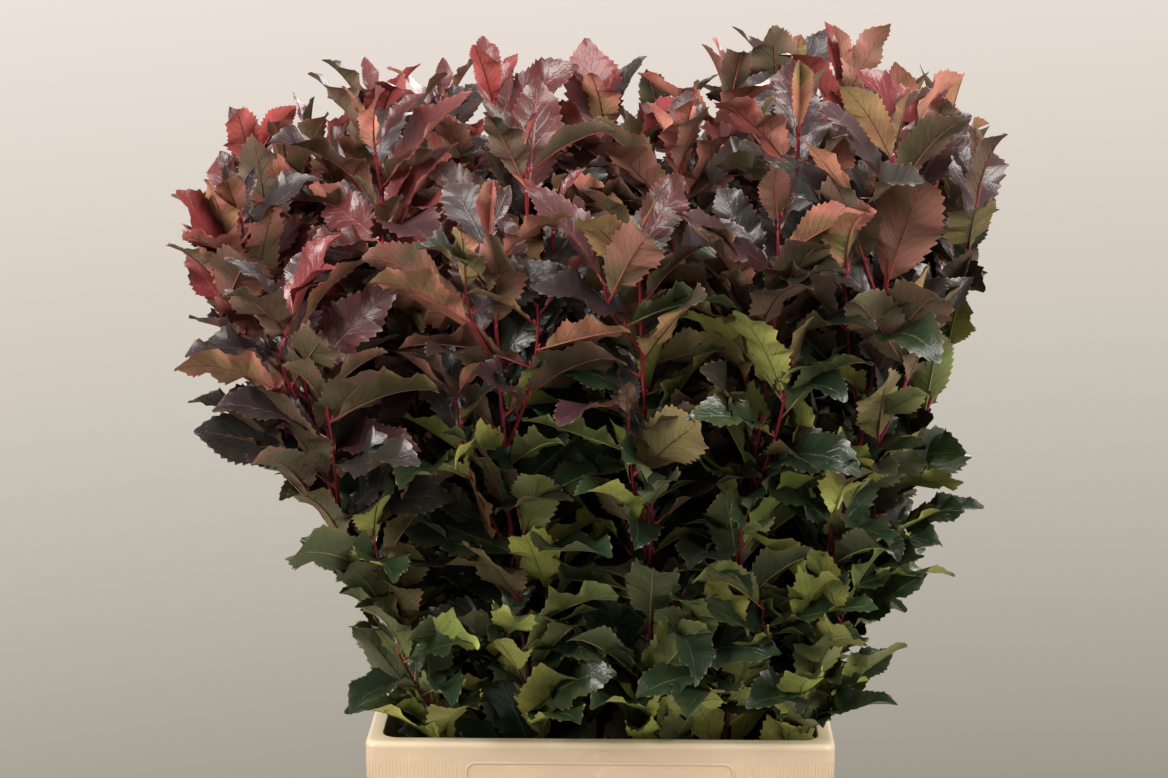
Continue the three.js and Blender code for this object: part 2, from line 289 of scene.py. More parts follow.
class Pattern:
    """A small mesh as arrays, ready to be copied many times. Where its copies are laid out
    mirrored, its faces are turned over first, so that theirs point outwards."""

    def __init__(self, mesh, mirrored=False):
        if mirrored:
            mesh.flip_normals()
        self.points = read(mesh.vertices, "co", float, 3).reshape(-1, 3)
        self.edges = read(mesh.edges, "vertices", size=2)
        self.loop_vertices = read(mesh.loops, "vertex_index")
        self.loop_edges = read(mesh.loops, "edge_index")
        self.starts = read(mesh.polygons, "loop_start")
        self.slots = read(mesh.polygons, "material_index")
        self.sharp = np.zeros(len(mesh.edges), bool)
        if "sharp_edge" in mesh.attributes:
            self.sharp = read(mesh.attributes["sharp_edge"].data, "value", bool)


def add_copies(name, pattern, points, materials, nodes, uv=None, shades=None):
    """One piece of many copies. points is copies x vertices x 3 in millimetres, uv holds a place on
    the leaf's own map for each of the pattern's vertices, and shades a number for each copy, each
    vertex or both."""
    copies, size, _ = points.shape
    copy = np.arange(copies)[:, None]
    mesh = bpy.data.meshes.new(name)
    mesh.vertices.add(copies * size)
    mesh.edges.add(copies * len(pattern.sharp))
    mesh.loops.add(copies * len(pattern.loop_vertices))
    mesh.polygons.add(copies * len(pattern.starts))
    write(mesh.vertices, "co", (points * MM).astype(np.float32))
    write(mesh.edges, "vertices", pattern.edges + copy * size)
    write(mesh.loops, "vertex_index", pattern.loop_vertices + copy * size)
    write(mesh.loops, "edge_index", pattern.loop_edges + copy * len(pattern.sharp))
    write(mesh.polygons, "loop_start", pattern.starts + copy * len(pattern.loop_vertices))
    write(mesh.polygons, "material_index", np.tile(pattern.slots, copies))
    sharp = mesh.attributes.new("sharp_edge", "BOOLEAN", "EDGE")
    write(sharp.data, "value", np.tile(pattern.sharp, copies))
    if uv is not None:
        layer = mesh.uv_layers.new(name="blade")
        write(layer.uv, "vector", np.tile(uv[pattern.loop_vertices], (copies, 1)).astype(np.float32))
    if shades is not None:
        shade = mesh.attributes.new("shade", "FLOAT", "POINT")
        write(shade.data, "value", np.broadcast_to(shades, (copies, size)).astype(np.float32))
    mesh.update()
    mesh.validate()
    add_object(name, mesh, materials, nodes)


# %% [markdown]
# ## The bucket's shell
# The real bucket is one injection moulding: a rounded rectangle that tapers to its foot, a collar
# under the rim that stands out from the wall, and a lip about 9 mm wide turned in over the wall.
# The shell starts as the flat foot, a square whose corners are rounded by a vertex bevel. Its edge
# ring is then extruded from level to level: up the outside, over the lip and down the inside,
# where the corners are a little rounder.

# %% Bucket sizes, in millimetres
RIM_HEIGHT = 300
RIM_HALF = (200, 150)
CORNER_RADIUS = 10
INNER_CORNER_RADIUS = 14
CORNER_STEPS = 8
LIP_WIDTH = 9.5
LIP_BEVEL = 4
LIP_STEPS = 6
LIP_INNER = LIP_BEVEL + LIP_WIDTH
LIP_HEIGHT = 6
LIP_TUCK = 0.2
BEVEL_HEIGHT = 5
COLLAR_LOW = 190
COLLAR_INSET = 2
SHOULDER_HEIGHT = 6
SHOULDER_LOW = COLLAR_LOW - SHOULDER_HEIGHT
SHOULDER_INSET = 6
EASE_HEIGHT = 1
EASE_DEPTH = 0.3
BASE_INSET = 22
FOOT_BEVEL = 4
FOOT_STEPS = 4
INNER_EDGE = 0.8
INNER_STEPS = 3
WALL = 3
FLOOR = 3.5
FLOOR_BEVEL = 3


def arc(centre, radii, start, end, steps):
    """Levels round a quarter bend in the wall's section, as (height, inset) pairs."""
    turns = [math.radians(start + (end - start) * i / steps) for i in range(steps + 1)]
    return [(centre[0] + radii[0] * math.sin(t), centre[1] - radii[1] * math.cos(t)) for t in turns]


def outside_levels():
    """The wall's section from the foot up to the flat of the lip."""
    foot = (FOOT_BEVEL, BASE_INSET + FOOT_BEVEL)
    lip = (RIM_HEIGHT - BEVEL_HEIGHT, LIP_BEVEL)
    return [
        *arc(foot, (FOOT_BEVEL, FOOT_BEVEL), -90, 0, FOOT_STEPS),
        (SHOULDER_LOW, SHOULDER_INSET),
        (SHOULDER_LOW + EASE_HEIGHT, SHOULDER_INSET - EASE_DEPTH),
        (COLLAR_LOW - EASE_HEIGHT, COLLAR_INSET + EASE_DEPTH),
        (COLLAR_LOW, COLLAR_INSET),
        *arc(lip, (BEVEL_HEIGHT, LIP_BEVEL), 0, 90, LIP_STEPS),
    ]


def inside_levels():
    """The section from the lip's inner edge down to the floor."""
    edge = (RIM_HEIGHT - INNER_EDGE, LIP_INNER - INNER_EDGE)
    return [
        *arc(edge, (INNER_EDGE, INNER_EDGE), 90, 180, INNER_STEPS),
        (RIM_HEIGHT - LIP_HEIGHT, LIP_INNER),
        (RIM_HEIGHT - LIP_HEIGHT * 2, WALL + LIP_TUCK),
        (COLLAR_LOW, COLLAR_INSET + WALL),
        (SHOULDER_LOW, SHOULDER_INSET + WALL),
        (FLOOR + FLOOR_BEVEL, BASE_INSET + WALL),
        (FLOOR, BASE_INSET + WALL + FLOOR_BEVEL),
    ]


# %% Bucket shell
def rounded_rectangle(bm, half_width, half_height, radius, steps):
    """One flat face with round corners, centred on the origin."""
    bmesh.ops.create_grid(bm, x_segments=1, y_segments=1, size=1)
    bmesh.ops.scale(bm, verts=bm.verts[:], vec=(half_width, half_height, 1))
    bmesh.ops.bevel(bm, geom=bm.verts[:], offset=radius, offset_type="OFFSET", segments=steps,
                    profile=0.5, affect="VERTICES", material=-1)


def set_level(vertex, base, radius, height, inset):
    """Puts a ring's vertex at a level: drawn in by the inset, round a corner of the radius."""
    for axis in (0, 1):
        side = math.copysign(1, base[axis])
        bend = (base[axis] - side * (RIM_HALF[axis] - CORNER_RADIUS)) / CORNER_RADIUS
        vertex.co[axis] = (side * (RIM_HALF[axis] - inset - radius) + bend * radius) * MM
    vertex.co[2] = height * MM


def bucket_shell():
    bm = bmesh.new()
    rounded_rectangle(bm, *RIM_HALF, CORNER_RADIUS, CORNER_STEPS)
    base = bm.verts.layers.float_vector.new("base")
    for vertex in bm.verts:
        vertex[base] = vertex.co
    levels = [(CORNER_RADIUS, *level) for level in outside_levels()]
    levels += [(INNER_CORNER_RADIUS, *level) for level in inside_levels()]
    ring = list(bm.edges)
    for vertex in bm.verts:
        set_level(vertex, vertex[base], *levels[0])
    for level in levels[1:]:
        ring, raised = grow_ring(bm, ring)
        for vertex in raised:
            set_level(vertex, vertex[base], *level)
    bmesh.ops.contextual_create(bm, geom=ring)
    return mesh_from(bm, "bucket_shell", crease=50)


# %% [markdown]
# ## Details on the collar
# The collar's front and back each carry an empty label field inside a low rounded bead. Above it
# sits a small boss like the top of a coin, which fades out at its foot. Everywhere else the collar
# is covered with fine upright ribs, about 3 mm apart, that stop short of a smooth band under the
# rim. All are shallow, so that they catch the light without dark lines.

# %% Label frame and boss
FRAME_HALF = (115, 42)
FRAME_CENTRE = 241.5
FRAME_BEAD = 2.4
FRAME_RADIUS = 9.5
FRAME_STEPS = 5
BEAD_RELIEF = 1.0
BEAD_BEVEL = 0.9
BEAD_STEPS = 3
BOSS_RELIEF = 1.0
BOSS_FADE = 0.05
BOSS_WIDTH = 38
BOSS_HEIGHT = 10
BOSS_FOOT = 284
BOSS_STEPS = 72
SUNK = 1.0


def wall_inset(height):
    """How far the collar's wall has drawn in at a height."""
    return COLLAR_INSET * (RIM_HEIGHT - height) / (RIM_HEIGHT - COLLAR_LOW)


def onto_wall(bm, centre_height, side):
    """Stands a flat detail, modelled in X and Y with its relief in Z, against the collar."""
    for vertex in bm.verts:
        across, up, out = vertex.co
        height = centre_height + up
        reach = RIM_HALF[1] - wall_inset(height) + out
        vertex.co = (-across * side * MM, side * reach * MM, height * MM)


def label_frame(side):
    bm = bmesh.new()
    rounded_rectangle(bm, *FRAME_HALF, FRAME_RADIUS, FRAME_STEPS)
    field = bm.faces[:]
    bead = bmesh.ops.inset_region(bm, faces=field, thickness=FRAME_BEAD, use_boundary=True,
                                  use_even_offset=True)["faces"]
    bmesh.ops.delete(bm, geom=field, context="FACES")
    shift(bm, 0, 0, -SUNK)
    top = bmesh.ops.extrude_face_region(bm, geom=bead)["geom"]
    bmesh.ops.translate(bm, verts=only(BMVert, top), vec=(0, 0, SUNK + BEAD_RELIEF))
    rim = [e for e in bm.edges if all(v.co.z > 0 for v in e.verts) and e.calc_face_angle(0) > 1]
    bmesh.ops.bevel(bm, geom=rim, offset=BEAD_BEVEL, offset_type="OFFSET", segments=BEAD_STEPS,
                    profile=0.5, affect="EDGES", material=-1)
    onto_wall(bm, FRAME_CENTRE, side)
    return mesh_from(bm, "label_frame")


def label_boss(side):
    bm = bmesh.new()
    radius = (BOSS_WIDTH ** 2 / 4 + BOSS_HEIGHT ** 2) / (2 * BOSS_HEIGHT)
    bmesh.ops.create_circle(bm, segments=BOSS_STEPS, radius=radius, cap_ends=True)
    whole = bm.verts[:] + bm.edges[:] + bm.faces[:]
    bmesh.ops.bisect_plane(bm, geom=whole, plane_co=(0, radius - BOSS_HEIGHT, 0),
                           plane_no=(0, 1, 0), clear_inner=True)
    shift(bm, 0, BOSS_HEIGHT - radius, -SUNK)
    top = bmesh.ops.extrude_face_region(bm, geom=bm.faces[:], use_keep_orig=True)["geom"]
    for vertex in only(BMVert, top):
        vertex.co.z = BOSS_RELIEF * between(BOSS_FADE, 1, vertex.co.y / BOSS_HEIGHT)
    onto_wall(bm, BOSS_FOOT, side)
    return mesh_from(bm, "label_boss")


# %% Ribs
RIB_PITCH = 3.0
RIB_WIDTH = 1.5
RIB_RELIEF = 0.36
RIB_LOW = 197
RIB_HIGH = 284
RIB_GAP = 7
RIB_SIDES = 8
RIB_BEVEL = 0.12
RIB_ENDING = 8


def rim_walk(distance):
    """A point on the rim's outline and its outward direction, walked from the front's left end."""
    straights = [2 * (RIM_HALF[side % 2] - CORNER_RADIUS) for side in range(4)]
    bend = CORNER_RADIUS * math.pi / 2
    side = 0
    while distance > straights[side] + bend:
        distance -= straights[side] + bend
        side += 1
    turn = math.radians(90 * side - 90)
    past = max(0, distance - straights[side]) / CORNER_RADIUS
    along = min(distance, straights[side]) - straights[side] / 2
    reach = RIM_HALF[1 - side % 2] - CORNER_RADIUS
    out = (math.cos(turn + past), math.sin(turn + past))
    x = math.cos(turn) * reach - math.sin(turn) * along + out[0] * CORNER_RADIUS
    y = math.sin(turn) * reach + math.cos(turn) * along + out[1] * CORNER_RADIUS
    return (x, y), out


def rib_pattern():
    """One upright rib, a half-round bar with rounded ends: X across, Y out, Z from 0 to 1."""
    bm = bmesh.new()
    bmesh.ops.create_cone(bm, cap_ends=True, segments=RIB_SIDES, radius1=0.5, radius2=0.5, depth=1)
    shift(bm, 0, 0, 0.5)
    ends = [e for e in bm.edges if abs(e.verts[0].co.z - e.verts[1].co.z) < 0.01]
    bmesh.ops.bevel(bm, geom=ends, offset=RIB_BEVEL, offset_type="OFFSET", segments=1, profile=0.5,
                    affect="EDGES", material=-1)
    return Pattern(mesh_from(bm, "rib_pattern"), mirrored=True)


def rib_points(pattern):
    """Every rib of the collar, stretched to its height and set round the rim's outline."""
    perimeter = 4 * (RIM_HALF[0] + RIM_HALF[1] - 2 * CORNER_RADIUS) + 2 * math.pi * CORNER_RADIUS
    count = round(perimeter / RIB_PITCH)
    x, y, z = pattern.points.T
    end = np.clip((z - 0.5) * 2, -1, 1)
    ending = np.sign(end) * (1 - np.abs(end)) * RIB_ENDING
    height = np.where(z > 0.5, RIB_HIGH, RIB_LOW) - ending
    reach = y * RIB_RELIEF * 2 - wall_inset(height)
    along = x * RIB_WIDTH
    copies = []
    for index in range(count):
        place, out = rim_walk((index + 0.5) * perimeter / count)
        if abs(out[0]) < 0.01 and abs(place[0]) < FRAME_HALF[0] + RIB_GAP:
            continue
        copies.append(np.stack([
            place[0] + out[0] * reach - out[1] * along,
            place[1] + out[1] * reach + out[0] * along,
            height,
        ], axis=-1))
    return np.array(copies)


# %% [markdown]
# ## Moulded plastic
# The plastic is a cream polypropylene: a satin skin with the fine grain of the mould, rubbed pale
# in places and a little grubby lower down. The lip's top and bevel carry a painted highlight, a
# paler cream where the light falls. A coarse noise moves the colour and the roughness, a fine one
# makes the grain, and the painted highlight and the grime come from the height above the floor.

# %% Plastic finish
CREAM = 0xC6B59D
CREAM_SHADED = 0xBEA98F
CREAM_GRIMY = 0xA48C6C
CREAM_RUBBED = 0xE6D8C0
PAINTED_LIP_HIGHLIGHT = 0xF2E4CA
MOULD_GRAIN = 0.0004


def cream_plastic():
    finish = Finish("cream_plastic")
    place = finish.place()
    cloud = finish.noise(place, 14, 4)
    grain = finish.noise(place, 900, 2)
    scuffs = finish.noise(place, 90, 6)
    _, _, height = finish.parts(place)
    grime = ((1 - height / (RIM_HEIGHT * MM)) * 0.5 + 0.12) * cloud
    rubbed = ((scuffs - 0.62) * 6).held()
    # Painted highlight: the lip's top and bevel are mixed towards a paler cream, as if lit from above.
    lip = ((height - (RIM_HEIGHT - BEVEL_HEIGHT) * MM) / (BEVEL_HEIGHT * MM)).held()
    base = finish.mix(cloud, linear(CREAM_SHADED), linear(CREAM))
    base = finish.mix(grime, base, linear(CREAM_GRIMY))
    base = finish.mix(rubbed * 0.25, base, linear(CREAM_RUBBED))
    base = finish.mix(lip * 0.55, base, linear(PAINTED_LIP_HIGHLIGHT))
    return finish.surface(
        Base_Color=base,
        Roughness=0.36 + cloud * 0.2,
        Coat_Roughness=0.3,
        Normal=finish.bump(grain * 0.6 + scuffs * 0.4, MOULD_GRAIN, 0.35),
    )


plastic = [cream_plastic()]
add_object("bucket_shell", bucket_shell(), plastic, ["bucket"])
for wall, side in (("front", -1), ("back", 1)):
    add_object("bucket_label_frame_" + wall, label_frame(side), plastic, ["bucket"])
    add_object("bucket_label_boss_" + wall, label_boss(side), plastic, ["bucket"])
rib = rib_pattern()
add_copies("bucket_ribs", rib, rib_points(rib), plastic, ["bucket"])

# %% [markdown]
# ## Where the stems stand
# The stems were cut and dropped into the bucket in rows, so they stand close together at the
# floor, fan out from the rim and straighten up near their tips. The part's source places them
# with a small seeded rule. The same rule, with the same draws, gives the same stems here, and the
# leaves and side shoots can then be carried much finer along them. All lengths are millimetres.

# %% Seeded numbers
SEED_BASE = 4001
SEED_STEP = 977
MODULUS = 2147483647
MULTIPLIER = 48271
WARM_UP = 4


def generator(seed):
    """Seeded numbers from 0 to 1."""
    state = seed

    def draw():
        nonlocal state
        state = state * MULTIPLIER % MODULUS
        return state / MODULUS

    for _ in range(WARM_UP):
        draw()
    return draw


def spread_of(draw, size):
    return (draw() * 2 - 1) * size


# %% Sizes of the fan
FRONT_FEET = (-138, -55, 47, 108, 172)
FRONT_CROWNS = (-250, -88, 32, 138, 232)
FRONT_TIPS = (392, 446, 446, 462, 512)
FRONT_FOOT_Y = -112
FRONT_CROWN_Y = -212
ROWS = (
    dict(foot_y=-38, crown_y=-72, feet=6, foot_x=174, crown_x=302, lower=24),
    dict(foot_y=36, crown_y=72, feet=7, foot_x=174, crown_x=308, lower=0),
    dict(foot_y=112, crown_y=212, feet=6, foot_x=158, crown_x=268, lower=22),
)
FOOT_JITTER = 6
CROWN_JITTER = 16
TIP_JITTER = 22
FLOOR_SPREAD = 0.5
UPRIGHT_FROM = 0.45
UPRIGHT_PULL = 0.6
SWAY_SIZE = 4
SWAY_SETTLE = 0.25
CROWN_LEVEL = 519
LOBES = ((-135, 85, 26), (205, 120, 34))
SHOULDER_FROM = 225
SHOULDER_SLOPE = 0.4
TWIG_SHARES = (0.46, 0.62)
TWIG_RISE = 0.27
TWIG_SHARE_JITTER = 0.05
TWIG_OUT = 34
TWIG_OUT_JITTER = 7
TWIG_TURN_JITTER = 0.5
OUTER_LEAF_START = -48
INNER_LEAF_START = 120
OUTSIDE_FOOT = (150, 95)
OUTSIDE_POWER = 3


# %% Plan of the stems
def crown_height_at(x):
    """Height above the rim that the crown's tips reach at a place across the fan."""
    height = CROWN_LEVEL
    for centre, half, rise in LOBES:
        height += rise * math.exp(-((x - centre) / half) ** 2)
    return height - max(0, abs(x) - SHOULDER_FROM) * SHOULDER_SLOPE


def leaf_start(foot):
    """Height at which a stem's leaves start: the nearer the fan's outside, the lower."""
    outside = max(abs(foot[axis]) / OUTSIDE_FOOT[axis] for axis in (0, 1))
    outside = min(1, outside) ** OUTSIDE_POWER
    return RIM_HEIGHT + between(INNER_LEAF_START, OUTER_LEAF_START, outside)


def plan_twigs(stem):
    """Side shoots: each leaves the leader at a share of its height and rises to a lower tip."""
    draw = stem.draw
    reach = stem.tip_z - stem.leaf_z
    turn = draw() * math.pi * 2
    twigs = []
    for index, share in enumerate(TWIG_SHARES):
        start_z = stem.leaf_z + reach * (share + spread_of(draw, TWIG_SHARE_JITTER))
        tip_z = start_z + reach * (TWIG_RISE + spread_of(draw, TWIG_SHARE_JITTER))
        azimuth = turn + index * (math.pi + spread_of(draw, TWIG_TURN_JITTER))
        out = TWIG_OUT + spread_of(draw, TWIG_OUT_JITTER)
        twigs.append(SimpleNamespace(start_z=start_z, tip_z=tip_z, azimuth=azimuth, out=out))
    return twigs


def plan_stems():
    stems = []

    def add_stem(foot, crown, tip_rise):
        draw = generator(SEED_BASE + len(stems) * SEED_STEP)
        stem = SimpleNamespace(index=len(stems), foot=foot, crown=crown, draw=draw)
        stem.leaf_z = leaf_start(foot)
        stem.tip_z = RIM_HEIGHT + tip_rise
        stem.sway_phase = draw() * math.pi * 2
        stem.sway_turn = draw() * math.pi
        stem.twigs = plan_twigs(stem)
        stems.append(stem)

    for foot_x, crown_x, tip in zip(FRONT_FEET, FRONT_CROWNS, FRONT_TIPS):
        add_stem((foot_x, FRONT_FOOT_Y), (crown_x, FRONT_CROWN_Y), tip)
    placing = generator(SEED_BASE)
    for row in ROWS:
        for index in range(row["feet"]):
            share = 2 * index / (row["feet"] - 1) - 1
            foot_x = share * row["foot_x"] + spread_of(placing, FOOT_JITTER)
            foot_y = row["foot_y"] + spread_of(placing, FOOT_JITTER)
            crown_x = share * row["crown_x"] + spread_of(placing, CROWN_JITTER)
            crown_y = row["crown_y"] + spread_of(placing, CROWN_JITTER)
            tip = crown_height_at(crown_x) - row["lower"] - placing() * TIP_JITTER
            add_stem((foot_x, foot_y), (crown_x, crown_y), tip)
    return stems


stems = plan_stems()
tips = [stem.tip_z for stem in stems]
print("stems:", len(stems), "tips", round(min(tips)), "to", round(max(tips)))


# %% Paths of stems and side shoots
def lean_share(t):
    """Share of the way from foot to crown: straight at first, turning upright near the tip."""
    def pull(share):
        return share - UPRIGHT_PULL * np.maximum(0, share - UPRIGHT_FROM) ** 2

    return pull(t) / pull(1.0)


def axis_at(stem, z):
    """Axis of a stem at each height, as points x 3."""
    z = np.asarray(z, float)
    t = np.maximum(0, z - RIM_HEIGHT) / (stem.tip_z - RIM_HEIGHT)
    below = between(FLOOR_SPREAD, 1, np.minimum(1, z / RIM_HEIGHT))
    share = lean_share(t)
    sway = SWAY_SIZE * np.sin(t * math.pi * 2 + stem.sway_phase) * np.minimum(1, t / SWAY_SETTLE)
    x = stem.foot[0] * below + (stem.crown[0] - stem.foot[0]) * share + sway * math.cos(stem.sway_turn)
    y = stem.foot[1] * below + (stem.crown[1] - stem.foot[1]) * share + sway * math.sin(stem.sway_turn)
    return np.stack([x, y, z], axis=-1)


def twig_at(stem, twig, z):
    """Axis of a side shoot: it swings out from the leader, then rises beside it."""
    z = np.asarray(z, float)
    t = (z - twig.start_z) / (twig.tip_z - twig.start_z)
    out = twig.out * (1 - (1 - t) ** 2)
    points = axis_at(stem, z)
    points[..., 0] += math.cos(twig.azimuth) * out
    points[..., 1] += math.sin(twig.azimuth) * out
    return points


# %% [markdown]
# ## Where the leaves sit
# Photinia leaves stand one to a node, each turned by the golden angle from the last, about 15 mm
# apart, up to the tuft of young leaves that ends the shoot. They rise steeply near the top and
# spread lower down. Short spurs with a few leaves fill in between the side shoots, which keeps the
# middle of the crown closed and dark. Just above the rim the leaves are steeper and all point
# outwards, like a skirt. The crown's reach to the left and right is given height by height.

# %% Leaf sizes
LEAFY_FROM = 226
LEAFY_JITTER = 8
LEAF_SPACING = (15.5, 14.5)
TWIG_LEAF_SPACING = 15.5
TWIG_BARE = 1.6
TWIG_LEAF = 0.92
TWIG_TUFT = 0.9
GOLDEN_ANGLE = 2.39996
LOW_LEAF = 110
HIGH_LEAF = 103
LOW_BREADTH = 1.1
HIGH_BREADTH = 1.17
LOW_TOOTH = 0.75
HIGH_TOOTH = 1.05
# Each leaf of a tuft: its depth below the tip, its length and its rise
TUFT_LEAVES = ((-34, 92, 0.8), (-22, 80, 0.9), (-12, 64, 1.02), (-4, 42, 1.2))
TUFT_DEPTH = 45
TUFT_ROOM = 40
TWIG_TUFT_ROOM = 30
TUFT_PLACES = (-320, -240, -140, -40, 60, 150, 230, 320)
TUFT_SIZES = (0.9, 0.9, 1.0, 0.86, 1.0, 1.04, 1.22, 1.2)
SPUR_SHARES = (-0.03, 0.05, 0.14, 0.24, 0.36, 0.54, 0.76)
SPUR_RISE = 62
SPUR_RISE_JITTER = 12
SPUR_OUT = 24
SPUR_LEAF_SHARES = (0.34, 0.54, 0.72, 0.88, 1.0)
SPUR_LEAF = 1.04
SPUR_LEAF_FALL = 0.25
SPUR_STEEP_FROM = 0.7
SPUR_STEEPNESS = 0.5
LOW_RISE = 0.52
HIGH_RISE = 0.8
STEEPEST_RISE = 1.45
RIM_STEEPNESS = 0.35
RIM_STEEP_ZONE = 60
SKIRT_ZONE = 34
SKIRT_FRONT = 1.4
SKIRT_SPREAD = 2.8
TURN_JITTER = 0.5
ROLL_JITTER = 0.9
RISE_JITTER = 0.48
LENGTH_JITTER = 0.14


# %% The crown's two sides
OUTLINE_HEIGHTS = (298, 335, 365, 395, 430, 460, 510, 560, 607, 650, 700, 760, 820, 850)
OUTLINE_LEFT = (200, 230, 228, 210, 222, 250, 282, 318, 342, 330, 372, 362, 320, 300)
OUTLINE_RIGHT = (215, 258, 275, 285, 300, 322, 330, 296, 270, 262, 298, 360, 340, 300)
SPUR_MARGIN = 30


def sides_at(z):
    """How far the crown reaches left and right of its middle at each height."""
    return np.interp(z, OUTLINE_HEIGHTS, OUTLINE_LEFT), np.interp(z, OUTLINE_HEIGHTS, OUTLINE_RIGHT)


def plan_spurs(stem):
    """Short side shoots below and between the long ones, which the plain masses leave out."""
    draw = stem.draw
    reach = stem.tip_z - RIM_HEIGHT
    turn = draw() * math.pi * 2
    spurs = []
    for index, share in enumerate(SPUR_SHARES):
        start_z = RIM_HEIGHT + reach * (share + spread_of(draw, TWIG_SHARE_JITTER))
        rise = SPUR_RISE + spread_of(draw, SPUR_RISE_JITTER)
        out = SPUR_OUT + spread_of(draw, TWIG_OUT_JITTER)
        azimuth = turn + index * GOLDEN_ANGLE
        spur = SimpleNamespace(start_z=start_z, tip_z=start_z + rise, azimuth=azimuth, out=out)
        left, right = sides_at(spur.tip_z)
        if SPUR_MARGIN - left < twig_at(stem, spur, spur.tip_z)[0] < right - SPUR_MARGIN:
            spurs.append(spur)
    return spurs


# %% Plan of the leaves
def grow_leaves(stem, leaves):
    """Adds a stem's leaves: where each node is, which way its leaf points and how long it is."""
    draw = stem.draw

    def share_at(z):
        return (z - RIM_HEIGHT) / (stem.tip_z - RIM_HEIGHT)

    def add_leaf(root, rise, length, young=0.0):
        stem.azimuth += GOLDEN_ANGLE
        above = max(0, float(root[2]) - RIM_HEIGHT)
        jitter = spread_of(draw, TURN_JITTER)
        azimuth = stem.azimuth + jitter
        if above < SKIRT_ZONE:
            azimuth = math.atan2(stem.foot[1] * SKIRT_FRONT, stem.foot[0]) + jitter * SKIRT_SPREAD
        roll = spread_of(draw, ROLL_JITTER)
        rise += RIM_STEEPNESS * math.exp(-above / RIM_STEEP_ZONE)
        rise += spread_of(draw, RISE_JITTER) * (1 - young)
        length *= 1 + spread_of(draw, LENGTH_JITTER)
        leaves.append((stem.index, root, azimuth, roll, rise, length, young))

    def add_tuft(path, tip_z, size):
        for depth, length, rise in TUFT_LEAVES:
            add_leaf(path(tip_z + depth * size), rise * size, length * size, 1 + depth / TUFT_DEPTH)

    stem.spurs = plan_spurs(stem)
    stem.azimuth = draw() * math.pi * 2
    tuft = float(np.interp(stem.crown[0], TUFT_PLACES, TUFT_SIZES))
    leader = partial(axis_at, stem)
    z = min(stem.leaf_z, LEAFY_FROM + LEAFY_JITTER * draw())
    while z < stem.tip_z - TUFT_ROOM:
        t = max(0, share_at(z))
        add_leaf(leader(z), between(LOW_RISE, HIGH_RISE, t), between(LOW_LEAF, HIGH_LEAF, t))
        z += between(*LEAF_SPACING, t)
    add_tuft(leader, stem.tip_z, tuft)
    for twig in stem.twigs:
        path = partial(twig_at, stem, twig)
        z = twig.start_z + TWIG_LEAF_SPACING * TWIG_BARE
        while z < twig.tip_z - TWIG_TUFT_ROOM:
            add_leaf(path(z), HIGH_RISE, HIGH_LEAF * TWIG_LEAF)
            z += TWIG_LEAF_SPACING
        add_tuft(path, twig.tip_z, TWIG_TUFT * tuft)
    for spur in stem.spurs:
        for share in SPUR_LEAF_SHARES:
            z = between(spur.start_z, spur.tip_z, share)
            steeper = SPUR_STEEPNESS * max(0, share - SPUR_STEEP_FROM)
            rise = between(LOW_RISE, HIGH_RISE, share_at(z)) + steeper
            add_leaf(twig_at(stem, spur, z), rise, LOW_LEAF * (SPUR_LEAF - SPUR_LEAF_FALL * share))


planned = []
for stem in stems:
    grow_leaves(stem, planned)
LEAF_FACTS = ("stem", "root", "azimuth", "roll", "rise", "length", "young")
leaves = SimpleNamespace(**{name: np.array(facts) for name, facts in zip(LEAF_FACTS, zip(*planned))})
print("leaves planned:", len(planned))

# %% [markdown]
# ## One leaf
# The leaf is long, leathery and holly-like: widest past its middle, with close spiny teeth, a
# margin that waves up and down and a sharp tip that hooks back. It starts as a grid. Three extra
# points on each edge of the margin make two teeth, pulled out and forward, and a notch between.
# The faces are cut into fans of triangles from the midrib, so that both sides crease alike and
# every tooth keeps its own face on either side. A reversed copy makes the underside, the two are
# parted to a real thickness and they meet in one sharp margin, which closes the leaf.

# %% Leaf pattern
LEAF_ROWS = 8
MARGIN_POINTS = 3
TOOTH_POINTS = (1, 3)
LEAF_HALF_WIDTH = 0.212
LEAF_BASE = 0.018
LEAF_THICKNESS = 0.0036
BLADE_SKEW = 1.08
BLADE_FULLNESS = 0.74
TIP_DRAW = 0.45
TIP_SHARPNESS = 7
TOOTH_REACH = 0.032
TOOTH_LEAN = 0.15
TOOTH_SHRINK = 0.6
TOOTHED_FROM = 0.2
UNDERSIDE = 1
TOUCHING = 1e-5


def half_width(u):
    """Half the blade's width at a share of its length, for a leaf one unit long."""
    full = np.sin(math.pi * np.clip(u, 0, 1) ** BLADE_SKEW) ** BLADE_FULLNESS
    point = 1 - TIP_DRAW * np.clip(u, 0, 1) ** TIP_SHARPNESS
    return LEAF_BASE * (1 - u) + (LEAF_HALF_WIDTH - LEAF_BASE) * full * point


def draw_outline(bm):
    """Draws the grid in to the blade's outline and pulls the teeth out of it."""
    parts = MARGIN_POINTS + 1
    for vertex in bm.verts:
        share, along = vertex.co.x * 2, vertex.co.y
        width = float(half_width(along))
        if round(along * LEAF_ROWS * parts) % parts in TOOTH_POINTS:
            along += TOOTH_LEAN / LEAF_ROWS
            size = (width / LEAF_HALF_WIDTH) ** TOOTH_SHRINK * min(1, along / TOOTHED_FROM)
            width = float(half_width(along)) + TOOTH_REACH * size
        vertex.co = (share * width, along, 0)
    bmesh.ops.remove_doubles(bm, verts=bm.verts[:], dist=TOUCHING)


def cut_fans(bm):
    """Cuts each face into triangles that all meet at its lowest corner on the midrib."""
    for face in bm.faces[:]:
        corners = list(face.verts)
        hub = min((v for v in corners if not v.is_boundary), key=lambda v: v.co.y)
        for vertex in corners:
            if vertex is not hub and not any(hub in e.verts for e in vertex.link_edges):
                bmesh.ops.connect_verts(bm, verts=[hub, vertex])


